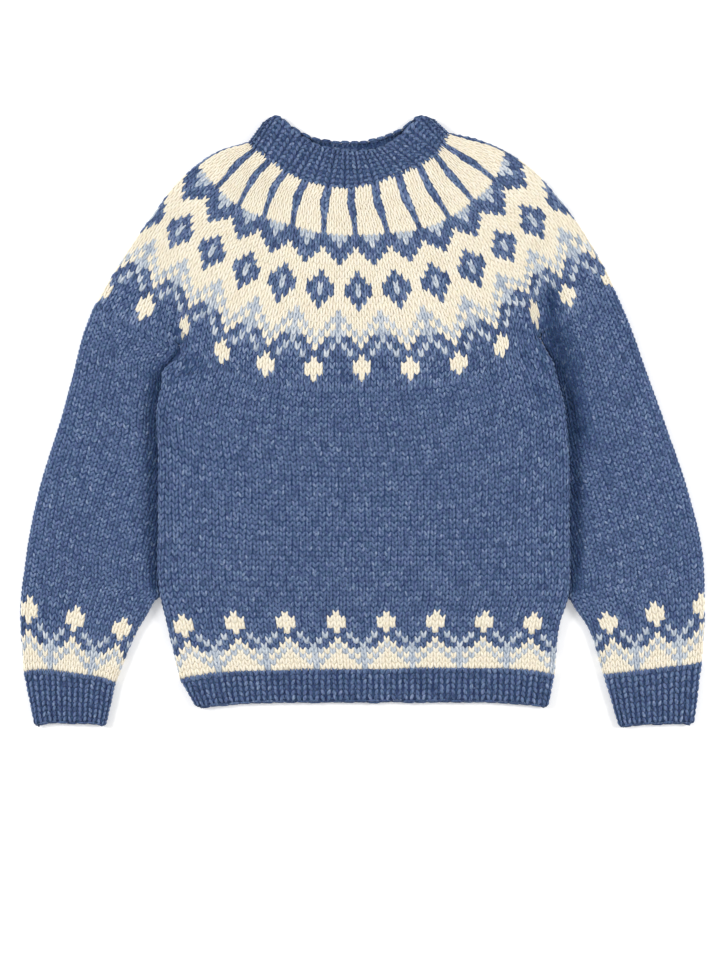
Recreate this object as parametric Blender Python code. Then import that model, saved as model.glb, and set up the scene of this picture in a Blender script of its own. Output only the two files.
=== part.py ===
"""A hand-knitted round-yoke sweater, laid flat on its back with its front up.

+X runs across the garment, +Y from hem to neck, and +Z up from the surface that it lies on.
Every piece is a flattened tube of thick knitting, because the garment is knitted in the round:
a body and two sleeves joined by one yoke, with ribbed hem, cuffs and collar.
Lengths are in millimetres here and become metres when a mesh is made.
"""

import math
from collections import namedtuple

import bmesh
import bpy
import numpy as np

MM = 0.001
OBJECT = "nordic_sweater"

WALL = 4.0          # thickness of bulky wool knitting
LYING = 9.6         # two walls lying on each other, with the little air between them
NECK_LYING = 11.0   # the same at the collar, which springs open a little
SEAM = 0.3          # between one piece and the next
RIB_HEIGHT = 1.4
INNER_RIB_HEIGHT = 1.1
BACK_NECK_RISE = 8.0
EDGE_REACH = 34.0   # how far in from its fold the body still rides on the sleeve beside it
EDGE_TURNS = np.radians((0.0, 45.0, 90.0))

HEM_RIBS = 32
CUFF_RIBS = 10
COLLAR_RIBS = 24
RIB_PROFILE = ((0.0, 0.0), (0.3, 1.0), (0.7, 1.0))   # place in the rib, share of its height
RIB_RINGS = 4       # from one edge of a ribbed band to the other
BACK_POINTS = 15

Row = namedtuple("Row", "name left_x left_y right_x right_y middle_y bow lift")
Round = namedtuple("Round", "name row places")
Fold = namedtuple("Fold", "name x0 y0 x1 y1 width height")

# The yoke's rounds as they lie, each by its places at nine stations.
# A station counts pattern repeats from the centre front, and the yoke has twelve on each side.
# A row is a knitted round above the one that joins body and sleeves.
HALF_REPEATS = 6
STATIONS = np.array((-6, -5, -4, -3, 0, 3, 4, 5, 6), float)
CORNERS = np.linspace(-HALF_REPEATS, HALF_REPEATS, 49)   # where each round has its corner points
YOKE = (
    Round("join", 0, ((-306, 128), (-256, 106), (-211, 88), (-160, 58), (-1, 37),
                      (159, 64), (202, 95), (239, 122), (286, 149))),
    Round("dots", 4, ((-294, 149), (-245, 129), (-202, 112), (-159, 79), (-1, 60),
                      (157, 85), (195, 123), (232, 142), (281, 162))),
    Round("diamonds", 19, ((-238, 234), (-207, 215), (-171, 191), (-132, 171), (-5, 146),
                           (124, 173), (161, 197), (193, 226), (224, 252))),
    Round("zigzag", 27.5, ((-204, 277), (-178, 250), (-149, 228), (-117, 212), (-7, 192),
                           (105, 214), (136, 234), (162, 260), (181, 295))),
    Round("petals", 35, ((-162, 307), (-145, 284), (-126, 268), (-102, 257), (-10, 236),
                         (84, 254), (107, 271), (126, 292), (132, 320))),
    Round("collar seam", 40, ((-131, 316), (-123, 306), (-106, 293), (-88, 280), (-12, 262),
                              (65, 287), (84, 299), (94, 311), (100, 327))),
)
COLLAR_ROWS = 8
COLLAR_EDGE_FRONT = Round("collar edge", COLLAR_ROWS, (
    (-112, 341), (-92, 340), (-80, 329), (-64, 318), (-14, 305), (31, 313), (46, 322), (59, 332),
    (80, 345)))
COLLAR_EDGE_BACK = Round("collar edge at the back", COLLAR_ROWS, (
    (-112, 341), (-92, 341), (-80, 331), (-64, 322), (-14, 314), (31, 323), (46, 329), (59, 337),
    (80, 345)))

# Rows across the body and the sleeves. Middle is the height halfway across, and a low bow turns
# the row gently to its ends, a high one only close to them. Lift raises the folded edges.
BODY = (
    Row("hem seam", -207, -293, 218, -288, -281, 6, 0),
    Row("band", -221, -234, 224, -229, -226, 6, 1),
    Row("crotch", -230, -193, 233, -200, -191, 6, 3),
    Row("hip", -231, -112, 234, -112, -114, 4, 5),
    Row("waist", -231, -33, 233, -33, -38, 3, 5),
    Row("chest", -230, 29, 225, 32, 10, 3, 5),
    Row("armpit", -221, 61, 216, 63, 26, 3, 3),
)
HEM = (
    Row("hem edge", -189, -324, 211, -323, -316, 6, 0),
    Row("hem seam", -207, -293, 218, -288, -281, 6, 0),
)
LEFT_SLEEVE = (
    Row("cuff seam", -384, -285, -279, -297, -285, 4, 0),
    Row("band", -388, -216, -257, -243, -229, 2, 0),
    Row("crotch", -382, -157, -232, -196, -176, 2, 0),
    Row("elbow", -366, -75, -233, -112, -93, 2, 0),
    Row("middle", -341, 6, -233, -33, -13, 2, 0),
    Row("upper", -329, 50, -232, 16, 33, 2, 0),
    Row("armpit", -317, 98, -224, 57, 77, 2, 0),
)
LEFT_CUFF = (
    Row("cuff edge", -372, -344, -290, -345, -340, 4, 0),
    Row("cuff seam", -384, -285, -279, -297, -285, 4, 0),
)
RIGHT_SLEEVE = (
    Row("cuff seam", 272, -287, 385, -273, -281, 4, 0),
    Row("band", 255, -234, 388, -214, -224, 2, 0),
    Row("crotch", 235, -203, 387, -163, -183, 2, 0),
    Row("elbow", 236, -122, 372, -89, -105, 2, 0),
    Row("middle", 235, -35, 342, 1, -17, 2, 0),
    Row("upper", 228, 29, 320, 62, 45, 2, 0),
    Row("armpit", 219, 64, 300, 118, 91, 2, 0),
)
RIGHT_CUFF = (
    Row("cuff edge", 290, -346, 376, -342, -341, 4, 0),
    Row("cuff seam", 272, -287, 385, -273, -281, 4, 0),
)
# Where the round that joins the pieces passes from sleeve to body, and how far they stay apart.
UNDERARM_LEFT = -209.0
UNDERARM_RIGHT = 202.5
UNDERARM_GAP = 1.6
CROTCH_Y = -200.0   # below this the sleeves swing clear of the body

# Soft swells and hollows of the upper panel, as ridges between two places.
FOLDS = (
    Fold("left armhole hollow", -198, 122, -209, 92, 16, -1.1),
    Fold("right armhole hollow", 200, 134, 206, 98, 16, -1.1),
    Fold("left underarm swell", -176, 62, -204, 18, 26, 2.4),
    Fold("right underarm swell", 172, 58, 202, 14, 26, 2.6),
    Fold("front hollow", 30, -100, 52, -160, 42, -1.0),
    Fold("left sleeve swell", -330, 40, -348, -150, 34, 1.8),
    Fold("right sleeve swell", 318, 30, 346, -150, 34, 1.8),
    Fold("chest swell", -110, 10, 96, 4, 40, 1.2),
    Fold("yoke swell", -120, 150, 110, 152, 46, 1.0),
)

BLUE_WOOL = ("heather_blue_wool", (0.075, 0.122, 0.262, 1.0))
YOKE_WOOL = ("patterned_wool", (0.42, 0.45, 0.50, 1.0))
WOOL_ROUGHNESS = 0.92
SHARP_ANGLE = math.radians(50)


def clear_scene():
    for thing in list(bpy.data.objects):
        bpy.data.objects.remove(thing, do_unlink=True)


def smooth(stations, places, at):
    """Places on a smooth curve through those given, with each slope taken from its neighbours."""
    stations = np.asarray(stations, float)
    places = np.asarray(places, float)
    at = np.atleast_1d(np.asarray(at, float))
    slopes = np.gradient(places, stations, axis=0)
    low = np.clip(np.searchsorted(stations, at, side="right") - 1, 0, len(stations) - 2)
    span = stations[low + 1] - stations[low]
    shape = (-1,) + (1,) * (places.ndim - 1)
    part = ((at - stations[low]) / span).reshape(shape)
    span = span.reshape(shape)
    start = (1 + 2 * part) * (1 - part) ** 2 * places[low] + part * (1 - part) ** 2 * span * slopes[low]
    end = part**2 * (3 - 2 * part) * places[low + 1] + part**2 * (part - 1) * span * slopes[low + 1]
    return start + end


def doubled(stations):
    """The stations with one more halfway between each two."""
    stations = np.asarray(stations, float)
    halfway = (stations[1:] + stations[:-1]) / 2
    return np.sort(np.concatenate([stations, halfway]))


def yoke_round(places):
    return smooth(STATIONS, places, CORNERS)


def raised_back(front, row):
    """The back of a yoke round lies a little higher up, most at the centre back neck."""
    back = front.copy()
    back[:, 1] += BACK_NECK_RISE * (row / YOKE[-1].row) ** 2 * (1 - (CORNERS / HALF_REPEATS) ** 2)
    return back


def across(row, spots):
    """Plan places of a row at spots from -1, its left fold, to 1, its right fold."""
    x = row.left_x + (row.right_x - row.left_x) * (spots + 1) / 2
    y = row.left_y + (row.right_y - row.left_y) * (spots + 1) / 2
    y = y + (row.middle_y - (row.left_y + row.right_y) / 2) * (1 - np.abs(spots) ** row.bow)
    return np.stack([x, y], axis=1)


def part_of_join(left, right):
    """The stretch of the joining round between two places across, with its corner points."""
    join = yoke_round(YOKE[0].places)
    margin = WALL + LYING / 2
    inside = join[(join[:, 0] > left + margin) & (join[:, 0] < right - margin)]
    x = np.concatenate([[left], inside[:, 0], [right]])
    return np.stack([x, np.interp(x, join[:, 0], join[:, 1])], axis=1)


def moved_up(line, distance):
    """The line moved square to itself, up the garment."""
    run = np.gradient(line, axis=0)
    run = run / np.linalg.norm(run, axis=1, keepdims=True)
    return line + distance * np.stack([-run[:, 1], run[:, 0]], axis=1)


def fold_height(x, y):
    """How far the soft swells and hollows move the upper panel at a place."""
    total = np.zeros_like(x)
    for fold in FOLDS:
        run = np.array((fold.x1 - fold.x0, fold.y1 - fold.y0), float)
        share = ((x - fold.x0) * run[0] + (y - fold.y0) * run[1]) / (run @ run)
        share = np.clip(share, 0, 1)
        away = np.hypot(x - fold.x0 - share * run[0], y - fold.y0 - share * run[1])
        total += fold.height * np.exp(-((away / fold.width) ** 2))
    return total


def over_panel(line, fractions, radius, inset):
    """Plan places and heights from fold to fold of one panel, on its skin or that far inside it."""
    steps = np.linalg.norm(np.diff(line, axis=0), axis=1)
    along = np.concatenate([[0.0], np.cumsum(steps)])
    width = along[-1]
    bend = radius - inset
    edge = radius - bend * np.cos(EDGE_TURNS)
    rise = bend * np.sin(EDGE_TURNS)
    spots = np.concatenate([edge, width * fractions, width - edge[::-1]])
    height = np.concatenate([rise, np.full(len(fractions), bend), rise[::-1]])
    x = np.interp(spots, along, line[:, 0])
    y = np.interp(spots, along, line[:, 1])
    return x, y, height, np.minimum(spots, width - spots)


def corners_of(line):
    """The line's own corner points, as fractions of its length."""
    along = np.cumsum(np.linalg.norm(np.diff(line, axis=0), axis=1))
    return along[:-1] / along[-1]


def rib_fractions(ribs):
    return np.array([(rib + place) / ribs for rib in range(ribs) for place, _ in RIB_PROFILE])[1:]


def rib_heights(ribs, height):
    """One height for each point of over_panel, none on the folded edges."""
    crests = np.array([share for _ in range(ribs) for _, share in RIB_PROFILE])[1:]
    flat = np.zeros(len(EDGE_TURNS))
    return height * np.concatenate([flat, crests, flat])


def flattened_ring(front, back, lying, lift, ribs, inner_ribs, inset):
    """Points round one ring of a flattened tube, on its skin or its lining side."""
    radius = lying / 2
    front_spots = rib_fractions(ribs) if ribs else corners_of(front)
    if inner_ribs:
        back_spots = rib_fractions(ribs)
    elif ribs:
        back_spots = np.arange(1, BACK_POINTS) / BACK_POINTS
    else:
        back_spots = corners_of(back)
    x, y, height, depth = over_panel(front, front_spots, radius, inset)
    ride = lift * np.clip(1 - depth / EDGE_REACH, 0, 1) ** 2
    away = np.clip(depth / EDGE_REACH, 0, 1)
    upper = radius + height + ride + fold_height(x, y) * away * (2 - away)
    if ribs and not inset:
        upper = upper + rib_heights(ribs, RIB_HEIGHT)
    top = np.stack([x, y, upper], axis=1)
    x, y, height, depth = over_panel(back, back_spots, radius, inset)
    ride = lift * np.clip(1 - depth / EDGE_REACH, 0, 1) ** 2
    lower = radius - height + ride
    if inner_ribs and inset:
        lower = lower + rib_heights(ribs, INNER_RIB_HEIGHT)
    under = np.stack([x, y, lower], axis=1)
    return np.concatenate([top, under[-2:0:-1]])


def wool(name, colour):
    material = bpy.data.materials.get(name)
    if material is None:
        material = bpy.data.materials.new(name)
        material.use_nodes = True
        shader = material.node_tree.nodes["Principled BSDF"]
        shader.inputs["Base Color"].default_value = colour
        shader.inputs["Roughness"].default_value = WOOL_ROUGHNESS
        shader.inputs["Metallic"].default_value = 0.0
        material.diffuse_color = colour
    return material


def joined_rings(mesh, lower, upper):
    count = len(lower)
    for here in range(count):
        there = (here + 1) % count
        mesh.faces.new((lower[here], lower[there], upper[there], upper[here]))


def make_tube(name, fronts, backs, lyings, lifts, paint, ribs=0, inner_ribs=False):
    """One wall between its skin and its lining side, through rings from the lowest to the highest."""
    mesh = bmesh.new()
    skins = []
    for inset in (0.0, WALL):
        rings = []
        for front, back, lying, lift in zip(fronts, backs, lyings, lifts):
            points = flattened_ring(front, back, lying, lift, ribs, inner_ribs, inset)
            rings.append([mesh.verts.new(point * MM) for point in points])
        skins.append(rings)
    outer, inner = skins
    for step in range(len(outer) - 1):
        joined_rings(mesh, outer[step], outer[step + 1])
        joined_rings(mesh, inner[step + 1], inner[step])
    joined_rings(mesh, inner[0], outer[0])
    joined_rings(mesh, outer[-1], inner[-1])
    bmesh.ops.recalc_face_normals(mesh, faces=mesh.faces)
    data = bpy.data.meshes.new(name)
    mesh.to_mesh(data)
    mesh.free()
    data.materials.append(wool(*paint))
    data.shade_smooth()
    data.set_sharp_from_angle(angle=SHARP_ANGLE)
    piece = bpy.data.objects.new(name, data)
    bpy.data.collections[OBJECT].objects.link(piece)
    piece.parent = bpy.data.objects[OBJECT + "_origin"]
    return piece


def at_seams(fronts, backs, first=True, last=True):
    """The same rings with the outer ones drawn in by half a seam, front and back ends together."""
    fronts = [np.array(line) for line in fronts]
    backs = [np.array(line) for line in backs]
    for wanted, place, way in ((first, 0, 1), (last, -1, -1)):
        if not wanted:
            continue
        for lines in (fronts, backs):
            lines[place] = moved_up(lines[place], way * SEAM / 2)
        for end in (0, -1):
            shared = (fronts[place][end] + backs[place][end]) / 2
            fronts[place][end] = shared
            backs[place][end] = shared
    return fronts, backs


def spots_of(line):
    """How far across each point lies, from -1 at the left fold to 1 at the right one."""
    return 2 * (line[:, 0] - line[0, 0]) / (line[-1, 0] - line[0, 0]) - 1


def panel_lines(rows, join_line):
    """Rings of the body or a sleeve, and their lifts: table rows, then its part of the joining round."""
    spots = spots_of(join_line)
    lines = np.array([across(row, spots) for row in rows] + [join_line])
    stations = np.array([row.middle_y for row in rows] + [join_line[:, 1].mean()])
    lifts = np.array([row.lift for row in rows] + [0.0])
    fine = doubled(stations)
    return smooth(stations, lines, fine), smooth(stations, lifts, fine)


def beside_body(lines, edge, end):
    """Sleeve rings with their inner end, 0 or -1, laid along the body's folded edge from the crotch up."""
    lines = np.array(lines)
    away = UNDERARM_GAP if end == 0 else -UNDERARM_GAP
    for line in lines[:-1]:
        if line[end, 1] > CROTCH_Y:
            share = (spots_of(line) + 1) / 2
            share = 1 - share if end == 0 else share
            wanted = np.interp(line[end, 1], edge[:, 1], edge[:, 0]) + away
            line[:, 0] += share * (wanted - line[end, 0])
    return lines


def make_panel_tube(name, lines, lifts, paint):
    fronts, backs = at_seams(lines, lines)
    return make_tube(name, fronts, backs, [LYING] * len(lines), lifts, paint)


def make_yoke():
    rows = np.array([line.row for line in YOKE], float)
    lines = np.array([yoke_round(line.places) for line in YOKE])
    fine = doubled(rows)
    fronts = smooth(rows, lines, fine)
    backs = [raised_back(line, row) for line, row in zip(fronts, fine)]
    fronts, backs = at_seams(fronts, backs)
    lyings = LYING + (NECK_LYING - LYING) * (fine / rows[-1]) ** 2
    return make_tube("yoke", fronts, backs, lyings, np.zeros(len(fine)), YOKE_WOOL)


def make_collar():
    seam = yoke_round(YOKE[-1].places)
    seam_back = raised_back(seam, YOKE[-1].row)
    edge = yoke_round(COLLAR_EDGE_FRONT.places)
    edge_back = yoke_round(COLLAR_EDGE_BACK.places)
    shares = np.linspace(0, 1, RIB_RINGS)
    fronts = [seam + (edge - seam) * share for share in shares]
    backs = [seam_back + (edge_back - seam_back) * share for share in shares]
    fronts, backs = at_seams(fronts, backs, last=False)
    return make_tube("collar_rib", fronts, backs, [NECK_LYING] * RIB_RINGS, [0.0] * RIB_RINGS, BLUE_WOOL,
                     ribs=COLLAR_RIBS, inner_ribs=True)


def make_ribbing(name, rows, spots, ribs):
    """A ribbed band below a seam: its edge row, the seam row and two between them."""
    lines = [across(row, spots) for row in rows]
    shares = np.linspace(0, 1, RIB_RINGS)
    fronts = [lines[0] + (lines[1] - lines[0]) * share for share in shares]
    fronts, backs = at_seams(fronts, fronts, first=False)
    return make_tube(name, fronts, backs, [LYING] * RIB_RINGS, [0.0] * RIB_RINGS, BLUE_WOOL,
                     ribs=ribs)


def main():
    clear_scene()
    collection = bpy.data.collections.new(OBJECT)
    bpy.context.scene.collection.children.link(collection)
    origin = bpy.data.objects.new(OBJECT + "_origin", None)
    collection.objects.link(origin)
    join = yoke_round(YOKE[0].places)
    half_gap = UNDERARM_GAP / 2
    body_join = part_of_join(UNDERARM_LEFT + half_gap, UNDERARM_RIGHT - half_gap)
    left_join = part_of_join(join[0, 0], UNDERARM_LEFT - half_gap)
    right_join = part_of_join(UNDERARM_RIGHT + half_gap, join[-1, 0])
    make_yoke()
    make_collar()
    body_lines, body_lifts = panel_lines(BODY, body_join)
    make_panel_tube("body", body_lines, body_lifts, BLUE_WOOL)
    make_ribbing("hem_rib", HEM, spots_of(body_join), HEM_RIBS)
    for side, rows, line, cuff, end in (
        ("left", LEFT_SLEEVE, left_join, LEFT_CUFF, -1),
        ("right", RIGHT_SLEEVE, right_join, RIGHT_CUFF, 0),
    ):
        lines, lifts = panel_lines(rows, line)
        body_fold = body_lines[:, -1 - end]
        lines = beside_body(lines, body_fold, end)
        make_panel_tube("sleeve_" + side, lines, lifts, BLUE_WOOL)
        make_ribbing("cuff_" + side, cuff, spots_of(line), CUFF_RIBS)


main()
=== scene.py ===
# %% [markdown]
# # A hand-knitted sweater, laid flat
#
# The real sweater is knitted in the round from thick, slightly hairy wool: a plain body and two
# plain sleeves, joined by one round yoke in a stranded pattern, with 1x1 ribbing at the neck, hem
# and cuffs. It lies on its back, so every piece is a flattened tube.
#
# Wool as thick as this never looks like smooth cloth. Each stitch is a small V of two strands that
# catches the light, so here each stitch is modelled. A thin closed shell gives every piece its
# form, and thousands of little strands, joined into a few meshes, lie on that shell.

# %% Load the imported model
import math
from collections import namedtuple

import bpy
import numpy as np
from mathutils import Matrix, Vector


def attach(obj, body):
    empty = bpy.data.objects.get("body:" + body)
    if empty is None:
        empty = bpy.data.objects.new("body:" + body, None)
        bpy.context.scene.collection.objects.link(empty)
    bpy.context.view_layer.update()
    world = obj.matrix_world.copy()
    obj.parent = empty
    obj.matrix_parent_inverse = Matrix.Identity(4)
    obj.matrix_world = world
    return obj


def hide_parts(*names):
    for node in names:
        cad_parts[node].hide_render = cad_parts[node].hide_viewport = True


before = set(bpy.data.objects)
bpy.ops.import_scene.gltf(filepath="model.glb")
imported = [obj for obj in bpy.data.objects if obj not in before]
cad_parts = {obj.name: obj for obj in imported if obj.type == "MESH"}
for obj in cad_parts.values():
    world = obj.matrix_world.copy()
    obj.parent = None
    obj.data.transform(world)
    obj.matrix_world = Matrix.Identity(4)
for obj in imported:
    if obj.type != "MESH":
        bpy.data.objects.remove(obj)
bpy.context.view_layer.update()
MM = 0.001
print("nodes:", sorted(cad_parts))

# %% [markdown]
# ## Camera, floor and light
#
# The picture is taken from straight above, with the garment's front facing the lens. A long lens
# from over two metres keeps the sides of the picture as undistorted as a catalogue photograph's.
# A floor almost white and large soft lamps give pale, soft shadows. The lamps stand low at both
# sides, the left one a little stronger, because slanting light makes knitted relief readable.

# %% Camera
FRAME_MM = 1084.8                      # what the picture's long side shows at the cloth
AIM = Vector((-2.8, -66.7, 9.6)) * MM
CAMERA_HEIGHT = 2.4
SENSOR_MM = 36.0

camera_data = bpy.data.cameras.new("camera")
camera_data.sensor_width = SENSOR_MM
camera_data.lens = SENSOR_MM * CAMERA_HEIGHT / (FRAME_MM * MM)
camera = bpy.data.objects.new("camera", camera_data)
camera.location = AIM + Vector((0, 0, CAMERA_HEIGHT))
bpy.context.scene.collection.objects.link(camera)
bpy.context.scene.camera = camera
print("lens", round(camera_data.lens, 1), "mm")


# %% Floor
FLOOR_HALF = 4.0
FLOOR_DROP = 0.0002                    # keeps the floor clear of the wool's underside
FLOOR_COLOUR = (0.93, 0.93, 0.93, 1)
FLOOR_ROUGHNESS = 0.9
FLOOR_GLOW = 0.22                      # lightens the soft shadows on it

floor_material = bpy.data.materials.new("pale_floor")
floor_material.use_nodes = True
floor_inputs = floor_material.node_tree.nodes["Principled BSDF"].inputs
floor_inputs["Base Color"].default_value = FLOOR_COLOUR
floor_inputs["Roughness"].default_value = FLOOR_ROUGHNESS
floor_inputs["Emission Color"].default_value = FLOOR_COLOUR
floor_inputs["Emission Strength"].default_value = FLOOR_GLOW

floor_mesh = bpy.data.meshes.new("floor")
floor_corners = [(-FLOOR_HALF, -FLOOR_HALF, 0), (FLOOR_HALF, -FLOOR_HALF, 0),
                 (FLOOR_HALF, FLOOR_HALF, 0), (-FLOOR_HALF, FLOOR_HALF, 0)]
floor_mesh.from_pydata(floor_corners, [], [(0, 1, 2, 3)])
floor_mesh.materials.append(floor_material)
floor = bpy.data.objects.new("floor", floor_mesh)
floor.location.z = -FLOOR_DROP
bpy.context.scene.collection.objects.link(floor)
print("floor:", 2 * FLOOR_HALF, "m wide")

# %% Lamps
LAMP_SIZE = 1.1
WORLD_STRENGTH = 0.50


def soft_lamp(name, place, watts):
    """A square lamp that faces the middle of the garment."""
    data = bpy.data.lights.new(name, "AREA")
    data.size = LAMP_SIZE
    data.energy = watts
    lamp = bpy.data.objects.new(name, data)
    lamp.location = place
    lamp.rotation_euler = (-Vector(place)).to_track_quat("-Z", "Y").to_euler()
    bpy.context.scene.collection.objects.link(lamp)
    print(name, watts, "W")


soft_lamp("left lamp", (-2.3, 0.7, 1.6), 58)
soft_lamp("right lamp", (2.3, 0.3, 1.6), 46)

world = bpy.data.worlds.new("studio")
world.use_nodes = True
world.node_tree.nodes["Background"].inputs["Color"].default_value = (1, 1, 1, 1)
world.node_tree.nodes["Background"].inputs["Strength"].default_value = WORLD_STRENGTH
bpy.context.scene.world = world
bpy.context.scene.view_settings.view_transform = "Standard"

# %% [markdown]
# ## Where the garment lies
#
# The tables, in millimetres, are those that the solids were made from, with some places of the
# yoke, the collar and the soft folds moved a little since. The yoke's rounds are
# curves across the garment, each given at nine stations that count pattern repeats from the centre
# front. The body and the sleeves are rows from fold to fold. A smooth curve through the table's
# places gives any place between them, so the loops of wool can follow the rows as they lie.

# %% Sizes
LYING = 9.6                        # how high the two panels on each other stand
NECK_LYING = 11.0                  # and how high at the neck
BACK_NECK_RISE = 8.0               # how much higher than the front the back of the neck lies
EDGE_REACH = 34.0                  # how far in the lifted folds and the flat edges reach
UNDERARM_LEFT = -209.0
UNDERARM_RIGHT = 202.5
UNDERARM_GAP = 1.6                 # between the body's folds and the sleeves
TUCK = 3.6                         # how far the soft edges press in past the solids
CROTCH_Y = -200.0

# %% The yoke's rounds
Round = namedtuple("Round", "name row places")
HALF_REPEATS = 6
STATIONS = np.array((-6, -5, -4, -3, 0, 3, 4, 5, 6), float)
YOKE = (
    Round("join", 0, ((-306, 128), (-256, 106), (-206, 86), (-160, 58), (-1, 37),
                      (159, 64), (202, 95), (239, 122), (286, 149))),
    Round("dots", 4, ((-294, 149), (-245, 129), (-202, 107), (-159, 79), (-1, 60),
                      (157, 85), (195, 123), (232, 142), (281, 162))),
    Round("diamonds", 19, ((-238, 234), (-207, 215), (-171, 191), (-132, 171), (-5, 146),
                           (124, 173), (161, 197), (193, 226), (224, 252))),
    Round("zigzag", 27.5, ((-204, 277), (-178, 250), (-149, 228), (-117, 212), (-7, 192),
                           (105, 214), (136, 234), (162, 260), (181, 295))),
    Round("petals", 35, ((-162, 307), (-145, 284), (-126, 268), (-102, 257), (-10, 236),
                         (84, 254), (107, 271), (126, 292), (132, 320))),
    Round("collar seam", 40, ((-131, 316), (-123, 306), (-106, 293), (-88, 280), (-12, 262),
                              (65, 287), (84, 299), (94, 311), (100, 327))),
)
COLLAR_EDGE_FRONT = ((-115, 337), (-98, 344), (-81, 331), (-64, 318), (-14, 305), (31, 313),
                     (46, 324), (65, 343), (84, 341))
COLLAR_EDGE_BACK = ((-115, 337), (-98, 344), (-81, 332), (-64, 322), (-14, 314), (31, 323),
                    (46, 330), (65, 344), (84, 341))

# %% Rows of the body, sleeves and ribbing
Row = namedtuple("Row", "name left_x left_y right_x right_y middle_y bow lift")
BODY = (
    Row("hem seam", -207, -293, 218, -288, -281, 6, 0),
    Row("band", -221, -234, 224, -229, -226, 6, 1),
    Row("crotch", -230, -193, 233, -200, -191, 6, 3),
    Row("hip", -231, -112, 234, -112, -114, 4, 5),
    Row("waist", -231, -33, 233, -33, -38, 3, 5),
    Row("chest", -230, 29, 225, 32, 10, 3, 5),
    Row("armpit", -221, 61, 216, 63, 26, 3, 3),
)
HEM = (
    Row("hem edge", -189, -324, 211, -323, -316, 6, 0),
    BODY[0],
)
LEFT_SLEEVE = (
    Row("cuff seam", -384, -285, -279, -297, -285, 4, 0),
    Row("band", -388, -216, -257, -243, -229, 2, 0),
    Row("crotch", -382, -157, -232, -196, -176, 2, 0),
    Row("elbow", -366, -75, -233, -112, -93, 2, 0),
    Row("middle", -341, 6, -233, -33, -13, 2, 0),
    Row("upper", -329, 50, -232, 16, 33, 2, 0),
    Row("armpit", -317, 98, -224, 57, 77, 2, 0),
)
LEFT_CUFF = (
    Row("cuff edge", -372, -344, -290, -345, -340, 4, 0),
    LEFT_SLEEVE[0],
)
RIGHT_SLEEVE = (
    Row("cuff seam", 272, -287, 385, -273, -281, 4, 0),
    Row("band", 255, -234, 388, -214, -224, 2, 0),
    Row("crotch", 235, -203, 387, -163, -183, 2, 0),
    Row("elbow", 236, -122, 372, -89, -105, 2, 0),
    Row("middle", 235, -35, 342, 1, -17, 2, 0),
    Row("upper", 228, 29, 320, 62, 45, 2, 0),
    Row("armpit", 219, 64, 300, 118, 91, 2, 0),
)
RIGHT_CUFF = (
    Row("cuff edge", 290, -346, 376, -342, -341, 4, 0),
    RIGHT_SLEEVE[0],
)

# %% Swells, hollows and creases of the upper panel
Fold = namedtuple("Fold", "name x0 y0 x1 y1 width height")
FOLDS = (
    Fold("left armhole hollow", -198, 122, -209, 92, 16, -1.1),
    Fold("right armhole hollow", 200, 134, 206, 98, 16, -1.1),
    Fold("left armhole crease 1", -209, 90, -209, 102, 8, -3.4),
    Fold("left armhole crease 2", -208, 104, -207, 120, 9, -2.4),
    Fold("left armhole crease 3", -207, 126, -206, 142, 9, -1.2),
    Fold("right armhole crease 1", 205, 94, 204, 108, 9, -3.8),
    Fold("right armhole crease 2", 204, 110, 203, 126, 10, -2.8),
    Fold("right armhole crease 3", 202, 132, 200, 150, 10, -1.6),
    Fold("left gather 1", -203, 80, -201, 50, 3.0, -2.2),
    Fold("left gather 2", -195, 80, -190, 44, 3.0, -1.8),
    Fold("left gather 3", -187, 76, -180, 46, 3.2, -1.4),
    Fold("right gather 1", 196, 84, 202, 44, 3.0, -2.2),
    Fold("right gather 2", 188, 82, 196, 36, 3.2, -1.8),
    Fold("right gather 3", 180, 76, 188, 38, 3.4, -1.4),
    Fold("left underarm swell", -176, 62, -204, 18, 26, 2.4),
    Fold("right underarm swell", 172, 58, 202, 14, 26, 2.6),
    Fold("front hollow", 30, -100, 52, -160, 42, -1.0),
    Fold("left sleeve swell", -330, 40, -348, -150, 34, 1.8),
    Fold("right sleeve swell", 318, 30, 346, -150, 34, 1.8),
    Fold("chest swell", -110, 10, 96, 4, 40, 1.2),
    Fold("yoke swell", -120, 150, 110, 152, 46, 1.0),
)


def nearness(line, x, y):
    """1 on the line of a fold or hollow, and less beside it, the wider the slower."""
    run = np.array((line.x1 - line.x0, line.y1 - line.y0), float)
    share = ((x - line.x0) * run[0] + (y - line.y0) * run[1]) / (run @ run)
    share = np.clip(share, 0, 1)
    away = np.hypot(x - line.x0 - share * run[0], y - line.y0 - share * run[1])
    return np.exp(-((away / line.width) ** 2))


def fold_height(x, y):
    """How far the soft swells and hollows move the upper panel at a place."""
    return sum(fold.height * nearness(fold, x, y) for fold in FOLDS)


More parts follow.
